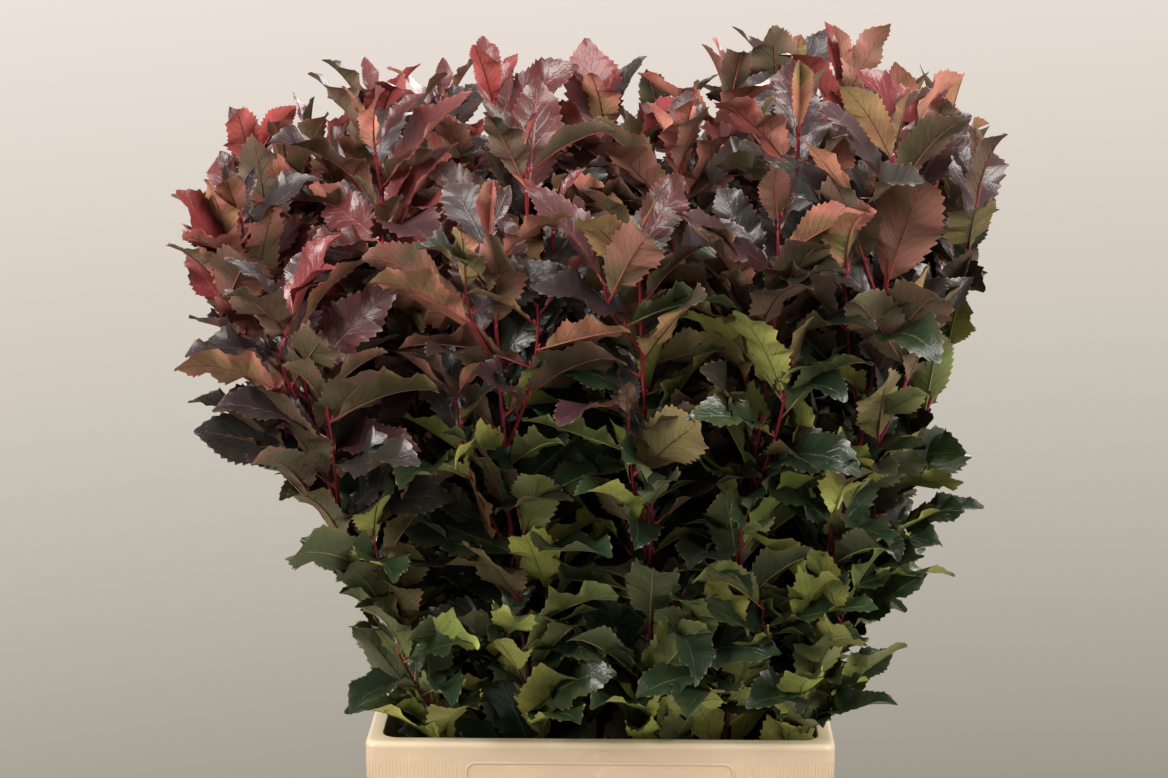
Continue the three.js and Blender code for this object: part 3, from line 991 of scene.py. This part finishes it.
def add_underside(bm):
    """Adds a reversed copy, parts the two and joins them along a sharp margin."""
    copy = bmesh.ops.duplicate(bm, geom=bm.verts[:] + bm.edges[:] + bm.faces[:])
    under = only(BMFace, copy["geom"])
    below = {v for f in under for v in f.verts}
    bmesh.ops.reverse_faces(bm, faces=under)
    for face in under:
        face.material_index = UNDERSIDE
    for vertex in bm.verts:
        if not vertex.is_boundary:
            vertex.co.z = (-1 if vertex in below else 1) * LEAF_THICKNESS / 2
    bmesh.ops.remove_doubles(bm, verts=bm.verts[:], dist=TOUCHING)
    for edge in bm.edges:
        edge.smooth = not all(abs(v.co.z) < TOUCHING for v in edge.verts)


def leaf_pattern():
    bm = bmesh.new()
    bmesh.ops.create_grid(bm, x_segments=2, y_segments=LEAF_ROWS, size=0.5)
    shift(bm, 0, 0.5, 0)
    margin = [e for e in bm.edges if all(abs(v.co.x) > 0.49 for v in e.verts)]
    bmesh.ops.bisect_edges(bm, edges=margin, cuts=MARGIN_POINTS, edge_percents={})
    draw_outline(bm)
    cut_fans(bm)
    add_underside(bm)
    return Pattern(finished_mesh(bm, "leaf_pattern"), mirrored=True)


leaf = leaf_pattern()
print("leaf pattern:", len(leaf.points), "vertices,", len(leaf.starts), "faces")

# %% [markdown]
# ## Bending every leaf its own way
# No two blades lie alike. Each leaf gets its own droop along the midrib, hook at the tip, fold
# about the midrib, twist and run of waves along either margin. The sums are the same for all
# leaves, so they are done on arrays: the midrib is followed in short steps, and every point of
# the pattern is then set out from it across the blade. Leaves higher up are a little broader and
# have longer teeth.

# %% Leaf characters
TRAITS = dict(
    droop=(0.1, 1.0), hook=(0.1, 0.75), fold=(0.15, 0.7), twist=(-0.75, 0.75),
    wave=(0.028, 0.064), waves=(1.8, 3.3), phase_a=(0, 6.28), phase_b=(0, 6.28),
    crimp=(0.1, 0.42), width=(0.88, 1.12), shade=(0, 1), deal=(0, 1), drift=(-1, 1),
)


def leaf_characters(count):
    """The drawn numbers of every leaf, as one array for each trait."""
    draw = generator(SEED_BASE - 1)
    drawn = [[between(*ends, draw()) for ends in TRAITS.values()] for _ in range(count)]
    return SimpleNamespace(**dict(zip(TRAITS, np.array(drawn).T)))


def swung(first, second, angle):
    """The first direction, swung towards the second by each angle."""
    return first * np.cos(angle)[..., None] + second * np.sin(angle)[..., None]


def leaf_frames(azimuth, rise, roll):
    """Forward, upper and side directions of each leaf."""
    flat = np.stack([np.cos(azimuth), np.sin(azimuth), np.zeros_like(azimuth)], -1)
    forward = swung(flat, UP, rise)
    upper = swung(UP, -flat, rise)
    upper = swung(upper, -np.cross(upper, forward), roll)
    return forward, upper, np.cross(upper, forward)


# %% Midribs
RIB_STEPS = 32
DROOP_POWER = 1.3
HOOK_FROM = 0.72
HOOK_POWER = 1.5
HOOK_GAIN = 5
YOUNG_STRAIGHTER = 0.6


def midribs(length, character, young):
    """Places and turns along each midrib, in the plane of forward (first) and upper (second)."""
    u = np.linspace(0, 1, RIB_STEPS + 1)
    hooked = np.clip(u - HOOK_FROM, 0, 1) ** HOOK_POWER * HOOK_GAIN
    turn = -(character.droop[:, None] * u ** DROOP_POWER + character.hook[:, None] * hooked)
    turn = turn * (1 - YOUNG_STRAIGHTER * young)[:, None]
    heading = np.stack([np.cos(turn), np.sin(turn)], -1)
    steps = (heading[:, 1:] + heading[:, :-1]) / 2 * (length / RIB_STEPS)[:, None, None]
    places = np.concatenate([np.zeros((len(length), 1, 2)), np.cumsum(steps, axis=1)], axis=1)
    return places, turn


def along_midrib(values, u):
    """Values stored at the midrib's steps, read at any share of its length."""
    position = np.clip(u, 0, 1) * RIB_STEPS
    low = np.minimum(position.astype(int), RIB_STEPS - 1)
    part = position - low
    part = part.reshape(part.shape + (1,) * (values.ndim - 2))
    return values[:, low] * (1 - part) + values[:, low + 1] * part


def midrib_lines(root, length, frames, character, young, u):
    """Points along each midrib, and the direction that stands up from the blade there."""
    forward, upper, _ = (direction[:, None, :] for direction in frames)
    places, turns = midribs(length, character, young)
    place = along_midrib(places, u)
    line = root[:, None, :] + forward * place[..., :1] + upper * place[..., 1:]
    return line, swung(upper, -forward, along_midrib(turns, u))


# %% Blades
THINNEST = 1e-4
YOUNG_FOLD = 0.8
YOUNG_WAVE = 0.5
SWELL_SPAN = 0.94
SWELL_START = 0.03
SWELL_POWER = 0.6
WAVE_LIMIT = 1.15
WAVE_POWER = 1.4
CRIMP_RATE = 2.3
MARGIN_EASE = 0.35
FOLD_GAIN = 1.2


def margin_waves(across, u, share, character, young):
    """How far the waves of the margin lift each point, as a share of the leaf's length."""
    phase = np.where(across > 0, character.phase_a[:, None], character.phase_b[:, None])
    swell = np.sin(math.pi * np.clip(u * SWELL_SPAN + SWELL_START, 0, 1)) ** SWELL_POWER
    size = character.wave[:, None] * (1 - YOUNG_WAVE * young)[:, None] * swell
    ripple = character.waves[:, None] * 2 * math.pi * u + phase
    crimped = np.sin(ripple) + character.crimp[:, None] * np.sin(CRIMP_RATE * ripple + 1)
    return size * np.minimum(share, WAVE_LIMIT) ** WAVE_POWER * crimped


def leaf_points(root, length, frames, character, young):
    """Every vertex of every leaf, copies x vertices x 3, in millimetres."""
    across, u, depth = leaf.points.T
    width = np.maximum(half_width(u), THINNEST)
    share = np.abs(across) / width
    line, normal = midrib_lines(root, length, frames, character, young, u)
    side = frames[2][:, None, :]
    twist = character.twist[:, None] * u
    fold = (character.fold * (1 + YOUNG_FOLD * young))[:, None]
    rise = np.clip((root[:, 2] - RIM_HEIGHT) / CROWN_LEVEL, 0, 1)
    breadth = (character.width * between(LOW_BREADTH, HIGH_BREADTH, rise))[:, None]
    tooth = between(LOW_TOOTH, HIGH_TOOTH, rise)[:, None] * np.maximum(share - 1, 0)
    spread = np.sign(across) * width * (np.minimum(share, 1) + tooth) * breadth * np.cos(fold)
    eased = 1 - MARGIN_EASE * share
    lift = np.abs(across) * np.sin(fold) * eased * FOLD_GAIN + depth * eased
    lift = lift + margin_waves(across, u, share, character, young)
    scale = length[:, None, None]
    line = line + swung(side, normal, twist) * spread[..., None] * scale
    return line + swung(normal, -side, twist) * lift[..., None] * scale


# %% [markdown]
# ## Leaves that clear the rim
# The real stems were pushed together by the bucket's wall, and their leaves gave way. A leaf that
# would cut the rim, or pass the crown's two sides, is tried again steeper, turned and shorter, as
# in the part's source, and left out after the last try. All the leaves are tried at once, and each
# keeps its first place that fits.

# %% Leaves that clear the rim and keep to the crown's outline
PETIOLE = 10
LEAF_TRIES = 6
TRY_SWING = 0.16
TRY_SHORTENING = 0.055
OUTLINE_JITTER = 12
STEM_REACH = 24
RIM_CLEAR = 2.5
RIM_SPLAY = 2
PART_SLACK = 8
DIRECTIONS = ("forward", "upper", "side")


def within_outline(points, root, drift):
    """Whether each leaf keeps between the crown's two sides, which narrow and swell by height."""
    x, _, z = np.moveaxis(points, -1, 0)
    slack = (OUTLINE_JITTER * drift)[:, None]
    left, right = sides_at(z)
    left = np.maximum(left + slack, STEM_REACH - root[:, :1])
    right = np.maximum(right + slack, STEM_REACH + root[:, :1])
    return ((x >= -left) & (x <= right)).all(axis=1)


def clear_of_bucket(points):
    """Whether each leaf keeps off the bucket's rim and stays in the part's reach."""
    x, y, z = np.moveaxis(points, -1, 0)
    inset = LIP_INNER + RIM_CLEAR
    inside = (np.abs(x) <= RIM_HALF[0] - inset) & (np.abs(y) <= RIM_HALF[1] - inset)
    past = np.maximum(np.abs(x) - RIM_HALF[0], np.abs(y) - RIM_HALF[1]) + LIP_WIDTH
    above = past <= (z - RIM_HEIGHT - RIM_CLEAR) * RIM_SPLAY
    clear = np.where(z < RIM_HEIGHT + RIM_CLEAR, inside, above)
    low = np.array(cad_box[0]) / MM - PART_SLACK
    high = np.array(cad_box[1]) / MM + PART_SLACK
    return (clear & np.all((points >= low) & (points <= high), axis=-1)).all(axis=1)


def settle_leaves(leaves, character):
    """Tries each leaf up to six times and notes the shape and directions that fit."""
    count = len(leaves.length)
    waiting = np.ones(count, bool)
    leaves.points = np.zeros((count, len(leaf.points), 3))
    leaves.final_length = leaves.length.copy()
    for name in DIRECTIONS:
        setattr(leaves, name, np.zeros((count, 3)))
    for attempt in range(LEAF_TRIES):
        azimuth = leaves.azimuth + (TRY_SWING if attempt % 2 else -TRY_SWING) * attempt
        rise = between(leaves.rise, STEEPEST_RISE, attempt / LEAF_TRIES)
        length = leaves.length * (1 - TRY_SHORTENING * attempt)
        frames = leaf_frames(azimuth, rise, leaves.roll)
        foot = leaves.root + frames[0] * PETIOLE
        tried = leaf_points(foot, length, frames, character, leaves.young)
        fits = waiting & clear_of_bucket(tried) & within_outline(tried, leaves.root, character.drift)
        leaves.points[fits] = tried[fits]
        leaves.final_length[fits] = length[fits]
        for name, direction in zip(DIRECTIONS, frames):
            getattr(leaves, name)[fits] = direction[fits]
        waiting &= ~fits
    leaves.kept = ~waiting


character = leaf_characters(len(planned))
settle_leaves(leaves, character)
print("leaves kept:", int(leaves.kept.sum()), "left out:", int((~leaves.kept).sum()))

# %% [markdown]
# ## Autumn-red tops and green skirts
# The young tops are red, the middle of each shoot is bronze to brown-olive and the oldest leaves
# are deep green with yellow-green undersides. The flanks redden further down than the middle, and
# this is also painted shade: the darker tints gather in the crown's middle. The tints are plain
# colours, and the undersides have a second one in patches. Each tint has a span of heights on the
# shoot, and every leaf is dealt one of the tints whose span takes it in.

# %% Tints
OPEN = 9
Tint = namedtuple("Tint", "name upper under patches rib lowest highest weight")
TINTS = [Tint(*row) for row in (
    ("scarlet", 0x7A3436, 0xAA5650, 0x983A3A, 0xA24646, 0.86, OPEN, 0.14),
    ("rose", 0x5A2C2D, 0xC88A76, 0x9E524A, 0xA8524A, 0.83, OPEN, 0.34),
    ("burgundy", 0x422324, 0xB67868, 0x7E6844, 0x964840, 0.77, OPEN, 0.30),
    ("plum", 0x362226, 0x845A4B, 0x5A5639, 0x7E4840, 0.56, OPEN, 0.28),
    ("slate", 0x2B2325, 0x705A48, 0x525039, 0x6A4A40, 0.46, OPEN, 0.28),
    ("copper", 0x3E2C27, 0xB07A60, 0x7C7846, 0x8E4E3C, 0.64, 1.0, 0.15),
    ("ochre", 0x38322A, 0x9C8256, 0x825C44, 0x8C5A3C, 0.48, 0.92, 0.13),
    ("bronze", 0x2A2926, 0x554535, 0x4C492C, 0x6E4632, 0.38, 0.80, 0.42),
    ("olive", 0x262C22, 0x686039, 0x5E5436, 0x745238, 0.26, 0.74, 0.24),
    ("moss", 0x243222, 0x868844, 0x6E7A3C, 0x8A7838, -OPEN, 0.62, 0.26),
    ("fresh_green", 0x263826, 0xA6AC58, 0x8A9A4C, 0x9A9440, -OPEN, 0.46, 0.26),
    ("deep_green", 0x1E2E1E, 0x60663A, 0x526032, 0x707034, -OPEN, 0.52, 0.34),
    ("shade_green", 0x1C2A1E, 0x485032, 0x404A2E, 0x5C6034, -OPEN, 0.54, 0.28),
)]
CROWN_TOP = CROWN_LEVEL + 20
CROWN_HALF = 250
SIDE_SHIFT = 0.16
FLANK_REDDENING_AND_SHADE = 0.075
MIDDLE_AGE = -0.015
AGE_DRIFT = 0.1
YOUNG_AGE = 0.06
FRONT_FROM = -110
FRONT_AGE = 0.07


def deal_tints(leaves, character):
    """The index of each leaf's tint, from the height of its middle, the side it is on and chance."""
    middle = leaves.points.mean(axis=1)
    side = middle[:, 0] / CROWN_HALF
    age = (middle[:, 2] - RIM_HEIGHT) / CROWN_TOP + MIDDLE_AGE
    # Painted shade in part: older, redder and paler tints go to the flanks, so the darker ones gather in
    # the crown's middle.
    age += FLANK_REDDENING_AND_SHADE * side ** 2 - SIDE_SHIFT * side
    age += AGE_DRIFT * character.drift + YOUNG_AGE * leaves.young
    age -= FRONT_AGE * (middle[:, 1] < FRONT_FROM) * (1 - leaves.young)
    dealt = np.zeros(len(age), int)
    for index, (value, chance) in enumerate(zip(age, character.deal)):
        hand = [(i, t.weight) for i, t in enumerate(TINTS) if t.lowest <= value <= t.highest]
        left = chance * sum(weight for _, weight in hand)
        for tint, weight in hand:
            dealt[index] = tint
            left -= weight
            if left <= 0:
                break
    return dealt


leaves.tint = deal_tints(leaves, character)
print("tints:", {t.name: int(((leaves.tint == i) & leaves.kept).sum()) for i, t in enumerate(TINTS)})

# %% [markdown]
# ## Leather above, felt below
# The upper face is thick and waxy: a dark colour under a clear gloss, sunk side veins and a paler
# midrib. The underside is matt and much paler, with the same veins standing out, and it reddens
# towards the margin. Both read the leaf's own map, across the blade in U and along it in V, so the
# veins follow every bend, and the spines of the margin are a little paler than the blade: partly
# their own pale tips, partly a painted highlight where they catch the light.

# %% Leaf finishes
VEIN_PAIRS = 10
VEIN_SLANT = 0.28
BLADE_MAP_WIDTH = 3.0
# Pale spine tips, in part a painted highlight where the margin's spines catch the light.
SPINE_AND_HIGHLIGHT_COLOUR = 0xB89888
UPPER_DEPTH = 0.0014
UNDER_DEPTH = 0.0009


class LeafFinish(Finish):
    """A finish that knows where it is on the leaf, and where the leaf's veins are."""

    def __init__(self, name):
        super().__init__(name)
        u, v, _ = self.parts(self.node("ShaderNodeUVMap", {"uv_map": "blade"}))
        self.across = abs(u - 0.5) * BLADE_MAP_WIDTH
        self.rib = (1 - self.across * 16).held()
        slanted = (v - self.across * VEIN_SLANT) * VEIN_PAIRS
        crests = abs(slanted.sum("FRACT") - 0.5) * 2
        self.veins = ((crests - 0.8) * 5).held() * (1 - self.across * 0.7)

    def blush(self, blotches):
        """Where a leaf reddens: towards its margin, in patches."""
        return ((self.across - 0.4) * 1.1 + (blotches - 0.5) * 2.4).held()

    def with_spines_and_highlight(self, share, base):
        """The colour with its margin's spines paler, which stand out past the blade: their own pale tips,
        and a painted highlight where they catch the light.
        """
        return self.mix(((self.across - 1.03) * 7).held() * share, base, linear(SPINE_AND_HIGHLIGHT_COLOUR))


def leaf_upper(tint):
    finish = LeafFinish("leaf_upper_" + tint.name)
    place = finish.place()
    blotches = finish.noise(place, 55, 3)
    quilt = finish.noise(place, 170, 2)
    grain = finish.noise(place, 700, 2)
    red = linear(tint.rib)
    base = finish.mix(finish.blush(blotches) * 0.12, linear(tint.upper), red)
    base = finish.brighter(base, 0.62 + finish.shade() * 0.6 + finish.veins * 0.2)
    base = finish.mix(finish.rib * 0.4, base, red)
    relief = blotches * 1.5 + quilt * 0.4 - finish.veins * 0.3 + finish.rib * 0.3 + grain * 0.26
    return finish.surface(
        Base_Color=finish.with_spines_and_highlight(0.22, base),
        Roughness=0.2 + blotches * 0.16 + grain * 0.06,
        Specular_IOR_Level=0.42,
        Coat_Weight=0.1,
        Coat_Roughness=0.16,
        Normal=finish.bump(relief, UPPER_DEPTH, 0.5),
    )


def leaf_under(tint):
    finish = LeafFinish("leaf_under_" + tint.name)
    place = finish.place()
    blotches = finish.noise(place, 45, 3)
    net = finish.noise(place, 420, 3)
    patches = ((finish.noise(place, 19, 2) - 0.46) * 9).held()
    red = linear(tint.rib)
    base = finish.mix(patches * 0.85, linear(tint.under), linear(tint.patches))
    base = finish.mix(finish.blush(blotches) * 0.45, base, red)
    light = 0.4 + finish.shade() * 0.45 - finish.veins * 0.3 + blotches * 0.4 + net * 0.48
    base = finish.mix(finish.rib * 0.22, finish.brighter(base, light), red)
    relief = finish.veins * 0.6 + net * 0.3 + blotches * 0.8
    return finish.surface(
        Base_Color=finish.with_spines_and_highlight(0.3, base),
        Roughness=0.56 + blotches * 0.14,
        Normal=finish.bump(relief, UNDER_DEPTH, 0.6),
    )


# %% Leaves, one piece for each tint
def numbered(kind, numbers):
    """The plain part's names for the stems, or the masses of foliage, of the stems numbered."""
    return [f"{kind}_{number + 1:02d}" for number in sorted(set(numbers))]


def blade_map():
    """The leaf's own map: U by the share from midrib to margin, V along the blade."""
    across, along, _ = leaf.points.T
    share = across / np.maximum(half_width(along), LEAF_BASE)
    return np.stack([share / BLADE_MAP_WIDTH + 0.5, along], axis=-1)


for index, tint in enumerate(TINTS):
    mine = leaves.kept & (leaves.tint == index)
    finishes = [leaf_upper(tint), leaf_under(tint)]
    nodes = numbered("foliage", leaves.stem[mine])
    add_copies("leaves_" + tint.name, leaf, leaves.points[mine], finishes, nodes,
               uv=blade_map(), shades=character.shade[mine][:, None])

# %% [markdown]
# ## Leaf stalks and midribs
# Each leaf hangs on a short round stalk that runs on under the blade as its midrib and thins out
# towards the tip. It is one tapering tube. The tube pattern is a circle extruded ring by ring, and
# arrays lay it along each midrib, a little below the blade.

# %% Tube pattern
def tube_pattern(sides, rings):
    """A closed tube: the ring's angle comes from X and Y, its place along from Z, 0 to 1."""
    bm = bmesh.new()
    bmesh.ops.create_circle(bm, segments=sides, radius=1, cap_ends=True)
    ring = list(bm.edges)
    for _ in range(rings):
        ring, lifted = grow_ring(bm, ring)
        bmesh.ops.translate(bm, verts=lifted, vec=(0, 0, 1 / rings))
    bmesh.ops.contextual_create(bm, geom=ring)
    return Pattern(mesh_from(bm, "tube_pattern", crease=80))


# %% Stalks
STALK_RADIUS = 1.15
STALK_THINNING = 0.2
STALK_SHARE = 0.16
STALK_TURN = 0.6
RIB_END = 0.9
RIB_END_RADIUS = 0.22
RIB_SINK = 0.75
STALK_DEPTH = 0.0004
STALK_KINDS = (
    # name, colour of the stalk, colour of the midrib, the tints of its leaves
    ("green", 0x7C3A2C, 0x767640, ("moss", "fresh_green", "deep_green", "shade_green")),
    ("brown", 0x842830, 0x745038, ("ochre", "bronze", "olive")),
    ("crimson", 0x96242E, 0x8C5044, ("scarlet", "rose", "burgundy", "plum", "slate", "copper")),
)


def stalk_points(pattern):
    """A stalk and midrib for every leaf, in millimetres."""
    x, y, s = pattern.points.T
    stalk = np.clip(s / STALK_SHARE, 0, 1)
    rib = np.clip((s - STALK_SHARE) / (1 - STALK_SHARE), 0, 1)
    length = leaves.final_length
    frames = (leaves.forward, leaves.upper, leaves.side)
    line, normal = midrib_lines(leaves.root, length, frames, character, leaves.young, rib * RIB_END)
    line = line + leaves.forward[:, None, :] * (PETIOLE * stalk)[:, None]
    radius = STALK_RADIUS * (1 - STALK_THINNING * stalk) * (1 - rib) + RIB_END_RADIUS * rib
    radius = (radius * (length / HIGH_LEAF)[:, None] ** 0.5)[..., None]
    line = line - normal * radius * RIB_SINK * stalk[:, None]
    return line + (leaves.side[:, None, :] * x[:, None] + normal * y[:, None]) * radius


def stalk_finish(name, stalk_colour, rib_colour):
    """Bright on the stalk, fading to the blade's own colour along the midrib."""
    finish = Finish("stalk_" + name)
    streaks = finish.noise(finish.place(), 240, 2)
    base = finish.mix(finish.shade(), linear(stalk_colour), linear(rib_colour))
    return finish.surface(
        Base_Color=finish.brighter(base, 0.75 + streaks * 0.5),
        Roughness=0.4 + streaks * 0.2,
        Normal=finish.bump(streaks, STALK_DEPTH, 0.5),
    )


tube = tube_pattern(sides=4, rings=9)
all_stalks = stalk_points(tube)
stalk_shade = np.clip(tube.points[:, 2] / STALK_SHARE - STALK_TURN, 0, 1)
for name, stalk_colour, rib_colour, kinds in STALK_KINDS:
    chosen = leaves.kept & np.isin(leaves.tint, [i for i, t in enumerate(TINTS) if t.name in kinds])
    finishes = [stalk_finish(name, stalk_colour, rib_colour)]
    nodes = numbered("foliage", leaves.stem[chosen])
    add_copies("stalks_" + name, tube, all_stalks[chosen], finishes, nodes, shades=stalk_shade)

# %% [markdown]
# ## Stems, shoots and side shoots
# Below its leaves a stem is dark red-brown wood, above them a crimson shoot that thins to its
# tip. The bark isn't a smooth pipe: every leaf leaves a swollen node with a bud above the scar,
# and shallow ridges run between them. The tube pattern is longer here, and its radius is moved
# ring by ring and side by side.

# %% Barked tubes
STEM_RADII = (3.8, 2.9)
SHOOT_RADII = (2.8, 1.2)
TWIG_RADII = (1.7, 0.9)
NODE_SWELL = 0.2
NODE_HALF = 4.5
NODE_POWER = 1.5
RIDGES = 3
RIDGE_HEIGHT = 0.035
RIDGE_TWIST = 0.05
WRINKLE_HEIGHT = 0.02
WRINKLE_RATE = 0.9
SCAR_FROM = FLOOR + 30
SCAR_SPACING = 24.0
SEAT = 0.3


def barked(pattern, path, low_z, high_z, radii, nodes, phase):
    """One tube along a path of heights: a taper with swollen nodes and shallow ridges."""
    x, y, t = pattern.points.T
    z = between(low_z, high_z, t)
    angle = np.arctan2(y, x)
    gap = np.abs(z[:, None] - nodes).min(axis=1)
    swell = NODE_SWELL * np.maximum(0, 1 - gap / NODE_HALF) ** NODE_POWER
    ridges = RIDGE_HEIGHT * np.sin(RIDGES * angle + phase + z * RIDGE_TWIST)
    wrinkles = WRINKLE_HEIGHT * np.sin(z * WRINKLE_RATE + phase * 3 + angle)
    radius = between(*radii, t) * (1 + swell + ridges + wrinkles)
    return path(z) + pattern.points * LEVEL_PART * radius[:, None]


# %% Bark
BARK_COLOURS = (0x341A18, 0x3E181A)
BARK_SPAN = (0, RIM_HEIGHT + 100)
SHOOT_COLOURS = (0x3A161A, 0x861A28)
SHOOT_SPAN = (RIM_HEIGHT + 60, RIM_HEIGHT + 430)
BARK_SPECK = 0x9A6A50
BARK_DEPTH = 0.0005


def stem_finish(name, colours, span):
    """Young bark: smooth, with corky specks, its colour turning over a span of heights."""
    finish = Finish(name)
    place = finish.place()
    _, _, height = finish.parts(place)
    low_z, high_z = span
    streaks = finish.noise(place, 160, 3)
    specks = ((finish.noise(place, 520, 1) - 0.66) * 8).held()
    rise = (height - low_z * MM) / ((high_z - low_z) * MM) + (streaks - 0.5) * 0.4
    base = finish.mix(rise.held(), *(linear(colour) for colour in colours))
    return finish.surface(
        Base_Color=finish.mix(specks * 0.45, base, linear(BARK_SPECK)),
        Roughness=0.42 + streaks * 0.2,
        Normal=finish.bump(streaks * 0.6 + specks, BARK_DEPTH, 0.6),
    )


bark = [stem_finish("red_brown_bark", BARK_COLOURS, BARK_SPAN)]
shoot_bark = [stem_finish("crimson_bark", SHOOT_COLOURS, SHOOT_SPAN)]

# %% Stems and shoots
stem_tube = tube_pattern(sides=10, rings=60)
shoot_tube = tube_pattern(sides=9, rings=100)
twig_tube = tube_pattern(sides=7, rings=26)
stem_copies = []
shoot_copies = []
twig_copies = []
for stem in stems:
    path = partial(axis_at, stem)
    nodes = leaves.root[leaves.stem == stem.index, 2]
    scars = np.arange(SCAR_FROM, stem.leaf_z, SCAR_SPACING)
    phase = stem.index
    stem_copies.append(barked(stem_tube, path, FLOOR + SEAT, stem.leaf_z, STEM_RADII, scars, phase))
    shoot_copies.append(barked(shoot_tube, path, stem.leaf_z, stem.tip_z, SHOOT_RADII, nodes, phase))
    for twig in stem.twigs + stem.spurs:
        path = partial(twig_at, stem, twig)
        ends = (twig.start_z, twig.tip_z)
        twig_copies.append(barked(twig_tube, path, *ends, TWIG_RADII, nodes, twig.azimuth))
stem_nodes = numbered("stem", range(len(stems)))
foliage_nodes = numbered("foliage", range(len(stems)))
add_copies("stems", stem_tube, np.array(stem_copies), bark, stem_nodes)
add_copies("shoots", shoot_tube, np.array(shoot_copies), shoot_bark, foliage_nodes)
add_copies("side_shoots", twig_tube, np.array(twig_copies), shoot_bark, foliage_nodes)

# %% Buds
BUD_SIZE = (1.5, 1.3, 2.9)
BUD_POINT = 0.45
BUD_OUT = 2.6
BUD_ABOVE = 3.4
BUD_LEAN = 0.35
BUD_COLOURS = (0x5A2420, 0x9A2430)
BUD_SPAN = (RIM_HEIGHT, RIM_HEIGHT + CROWN_LEVEL)


def bud_pattern():
    """A small pointed bud, one unit high each way from its middle."""
    bm = bmesh.new()
    bmesh.ops.create_icosphere(bm, subdivisions=1, radius=1)
    for vertex in bm.verts:
        vertex.co.xy *= 1 - BUD_POINT * max(0, vertex.co.z)
    return Pattern(mesh_from(bm, "bud_pattern", crease=180), mirrored=True)


def bud_points(pattern):
    """A bud above every leaf's foot, leaning away from the shoot."""
    out = leaves.forward[leaves.kept] * LEVEL_PART
    out = out / np.linalg.norm(out, axis=1)[:, None]
    directions = (np.cross(UP, out), out, out * BUD_LEAN + UP)
    points = (leaves.root[leaves.kept] + out * BUD_OUT + UP * BUD_ABOVE)[:, None, :]
    for direction, sizes in zip(directions, (pattern.points * BUD_SIZE).T):
        points = points + direction[:, None, :] * sizes[:, None]
    return points


bud = bud_pattern()
bud_scales = [stem_finish("bud_scales", BUD_COLOURS, BUD_SPAN)]
add_copies("buds", bud, bud_points(bud), bud_scales, foliage_nodes)

# %% [markdown]
# ## Floor, room and light
# A studio keeps the setting out of the picture: a round pale floor, a pale room and large soft
# lamps. The room as seen carries painted shade: darker towards the bottom and to one side. Two
# stand to the sides, a little forward, and light the crown's flanks. One hangs overhead and gives
# the waxy leaves their haze, and one opens the back. The crown's middle stays dark.

# %% Floor
FLOOR_RADIUS = 0.56
FLOOR_DEPTH = 0.02
FLOOR_STEPS = 128
FLOOR_COLOURS = (0xB4AEA6, 0xBBB5AD)


def pale_floor():
    finish = Finish("pale_floor")
    cloud = finish.noise(finish.place(), 6, 3)
    base = finish.mix(cloud, *(linear(colour) for colour in FLOOR_COLOURS))
    return finish.surface(Base_Color=base, Roughness=0.6 + cloud * 0.1)


bm = bmesh.new()
bmesh.ops.create_cone(bm, cap_ends=True, segments=FLOOR_STEPS, radius1=FLOOR_RADIUS,
                      radius2=FLOOR_RADIUS, depth=FLOOR_DEPTH)
shift(bm, 0, 0, -FLOOR_DEPTH / 2)
floor_mesh = mesh_from(bm, "floor")
floor_mesh.materials.append(pale_floor())
floor = new_object("floor", floor_mesh)
print("floor:", 2 * FLOOR_RADIUS, "m across")

# %% Lamps
LAMPS = (
    # name, place, aim, width, height, power
    ("left", (-1.98, -1.35, 1.75), (0, 0, 0.5), 1.2, 1.2, 92),
    ("right", (2.0, -1.2, 1.68), (0, 0, 0.5), 1.2, 1.2, 75),
    ("overhead", (0.0, -0.4, 2.4), (0, 0, 0.6), 1.3, 1.0, 36),
    ("back", (0.3, 2.2, 1.5), (0, 0, 0.5), 1.4, 1.2, 26),
)
LAMP_COLOUR = (1.0, 0.95, 0.9)


def add_lamp(name, place, aim, width, height, power):
    lamp_data = bpy.data.lights.new(name, "AREA")
    lamp_data.shape = "RECTANGLE"
    lamp_data.size = width
    lamp_data.size_y = height
    lamp_data.energy = power
    lamp_data.color = LAMP_COLOUR
    lamp = new_object(name, lamp_data)
    lamp.location = place
    x, y, z = np.array(aim) - np.array(place)
    pitch = math.atan2(z, math.hypot(x, y)) + math.pi / 2
    lamp.rotation_euler = (pitch, 0, math.atan2(y, x) - math.pi / 2)


for lamp in LAMPS:
    add_lamp(*lamp)
print("lamps:", ", ".join(lamp[0] for lamp in LAMPS))

# %% Room
ROOM_GLOW = 0.62
GLOW_COLOUR = 0xE6DED4
ROOM_SIDE_SHIFT = -0.088
ROOM_LOW = -0.38
ROOM_HIGH = -0.03
ROOM_PAINTED_SHADE_COLOURS = (0x9A9488, 0xCCC5B9, 0xEEE3DB)


def pale_room():
    """A pale room to the eye, with painted shade towards the bottom and one side, but a weak even light,
    so that the crown keeps its dark middle.
    """
    room = Finish("room", "worlds")
    x, _, z = room.parts(room.node("ShaderNodeTexCoord").part("Generated"))
    # Painted shade: the room as seen runs from dark at the bottom to pale at the top, shifted to one
    # side.
    rise = ((z + x * ROOM_SIDE_SHIFT - ROOM_LOW) / (ROOM_HIGH - ROOM_LOW)).held()
    low, middle, high = (linear(colour) for colour in ROOM_PAINTED_SHADE_COLOURS)
    colour = room.mix((rise * 2).held(), low, middle)
    colour = room.mix((rise * 2 - 1).held(), colour, high)
    glow = room.node("ShaderNodeBackground", inputs={"Color": linear(GLOW_COLOUR), "Strength": ROOM_GLOW})
    seen = room.node("ShaderNodeBackground", inputs={"Color": colour})
    looked_at = room.node("ShaderNodeLightPath").part("Is Camera Ray")
    blend = room.node("ShaderNodeMixShader", inputs={0: looked_at, 1: glow, 2: seen})
    room.node("ShaderNodeOutputWorld", inputs={"Surface": blend})
    return room.owner


bpy.context.scene.world = pale_room()
bpy.context.scene.view_settings.view_transform = "Standard"
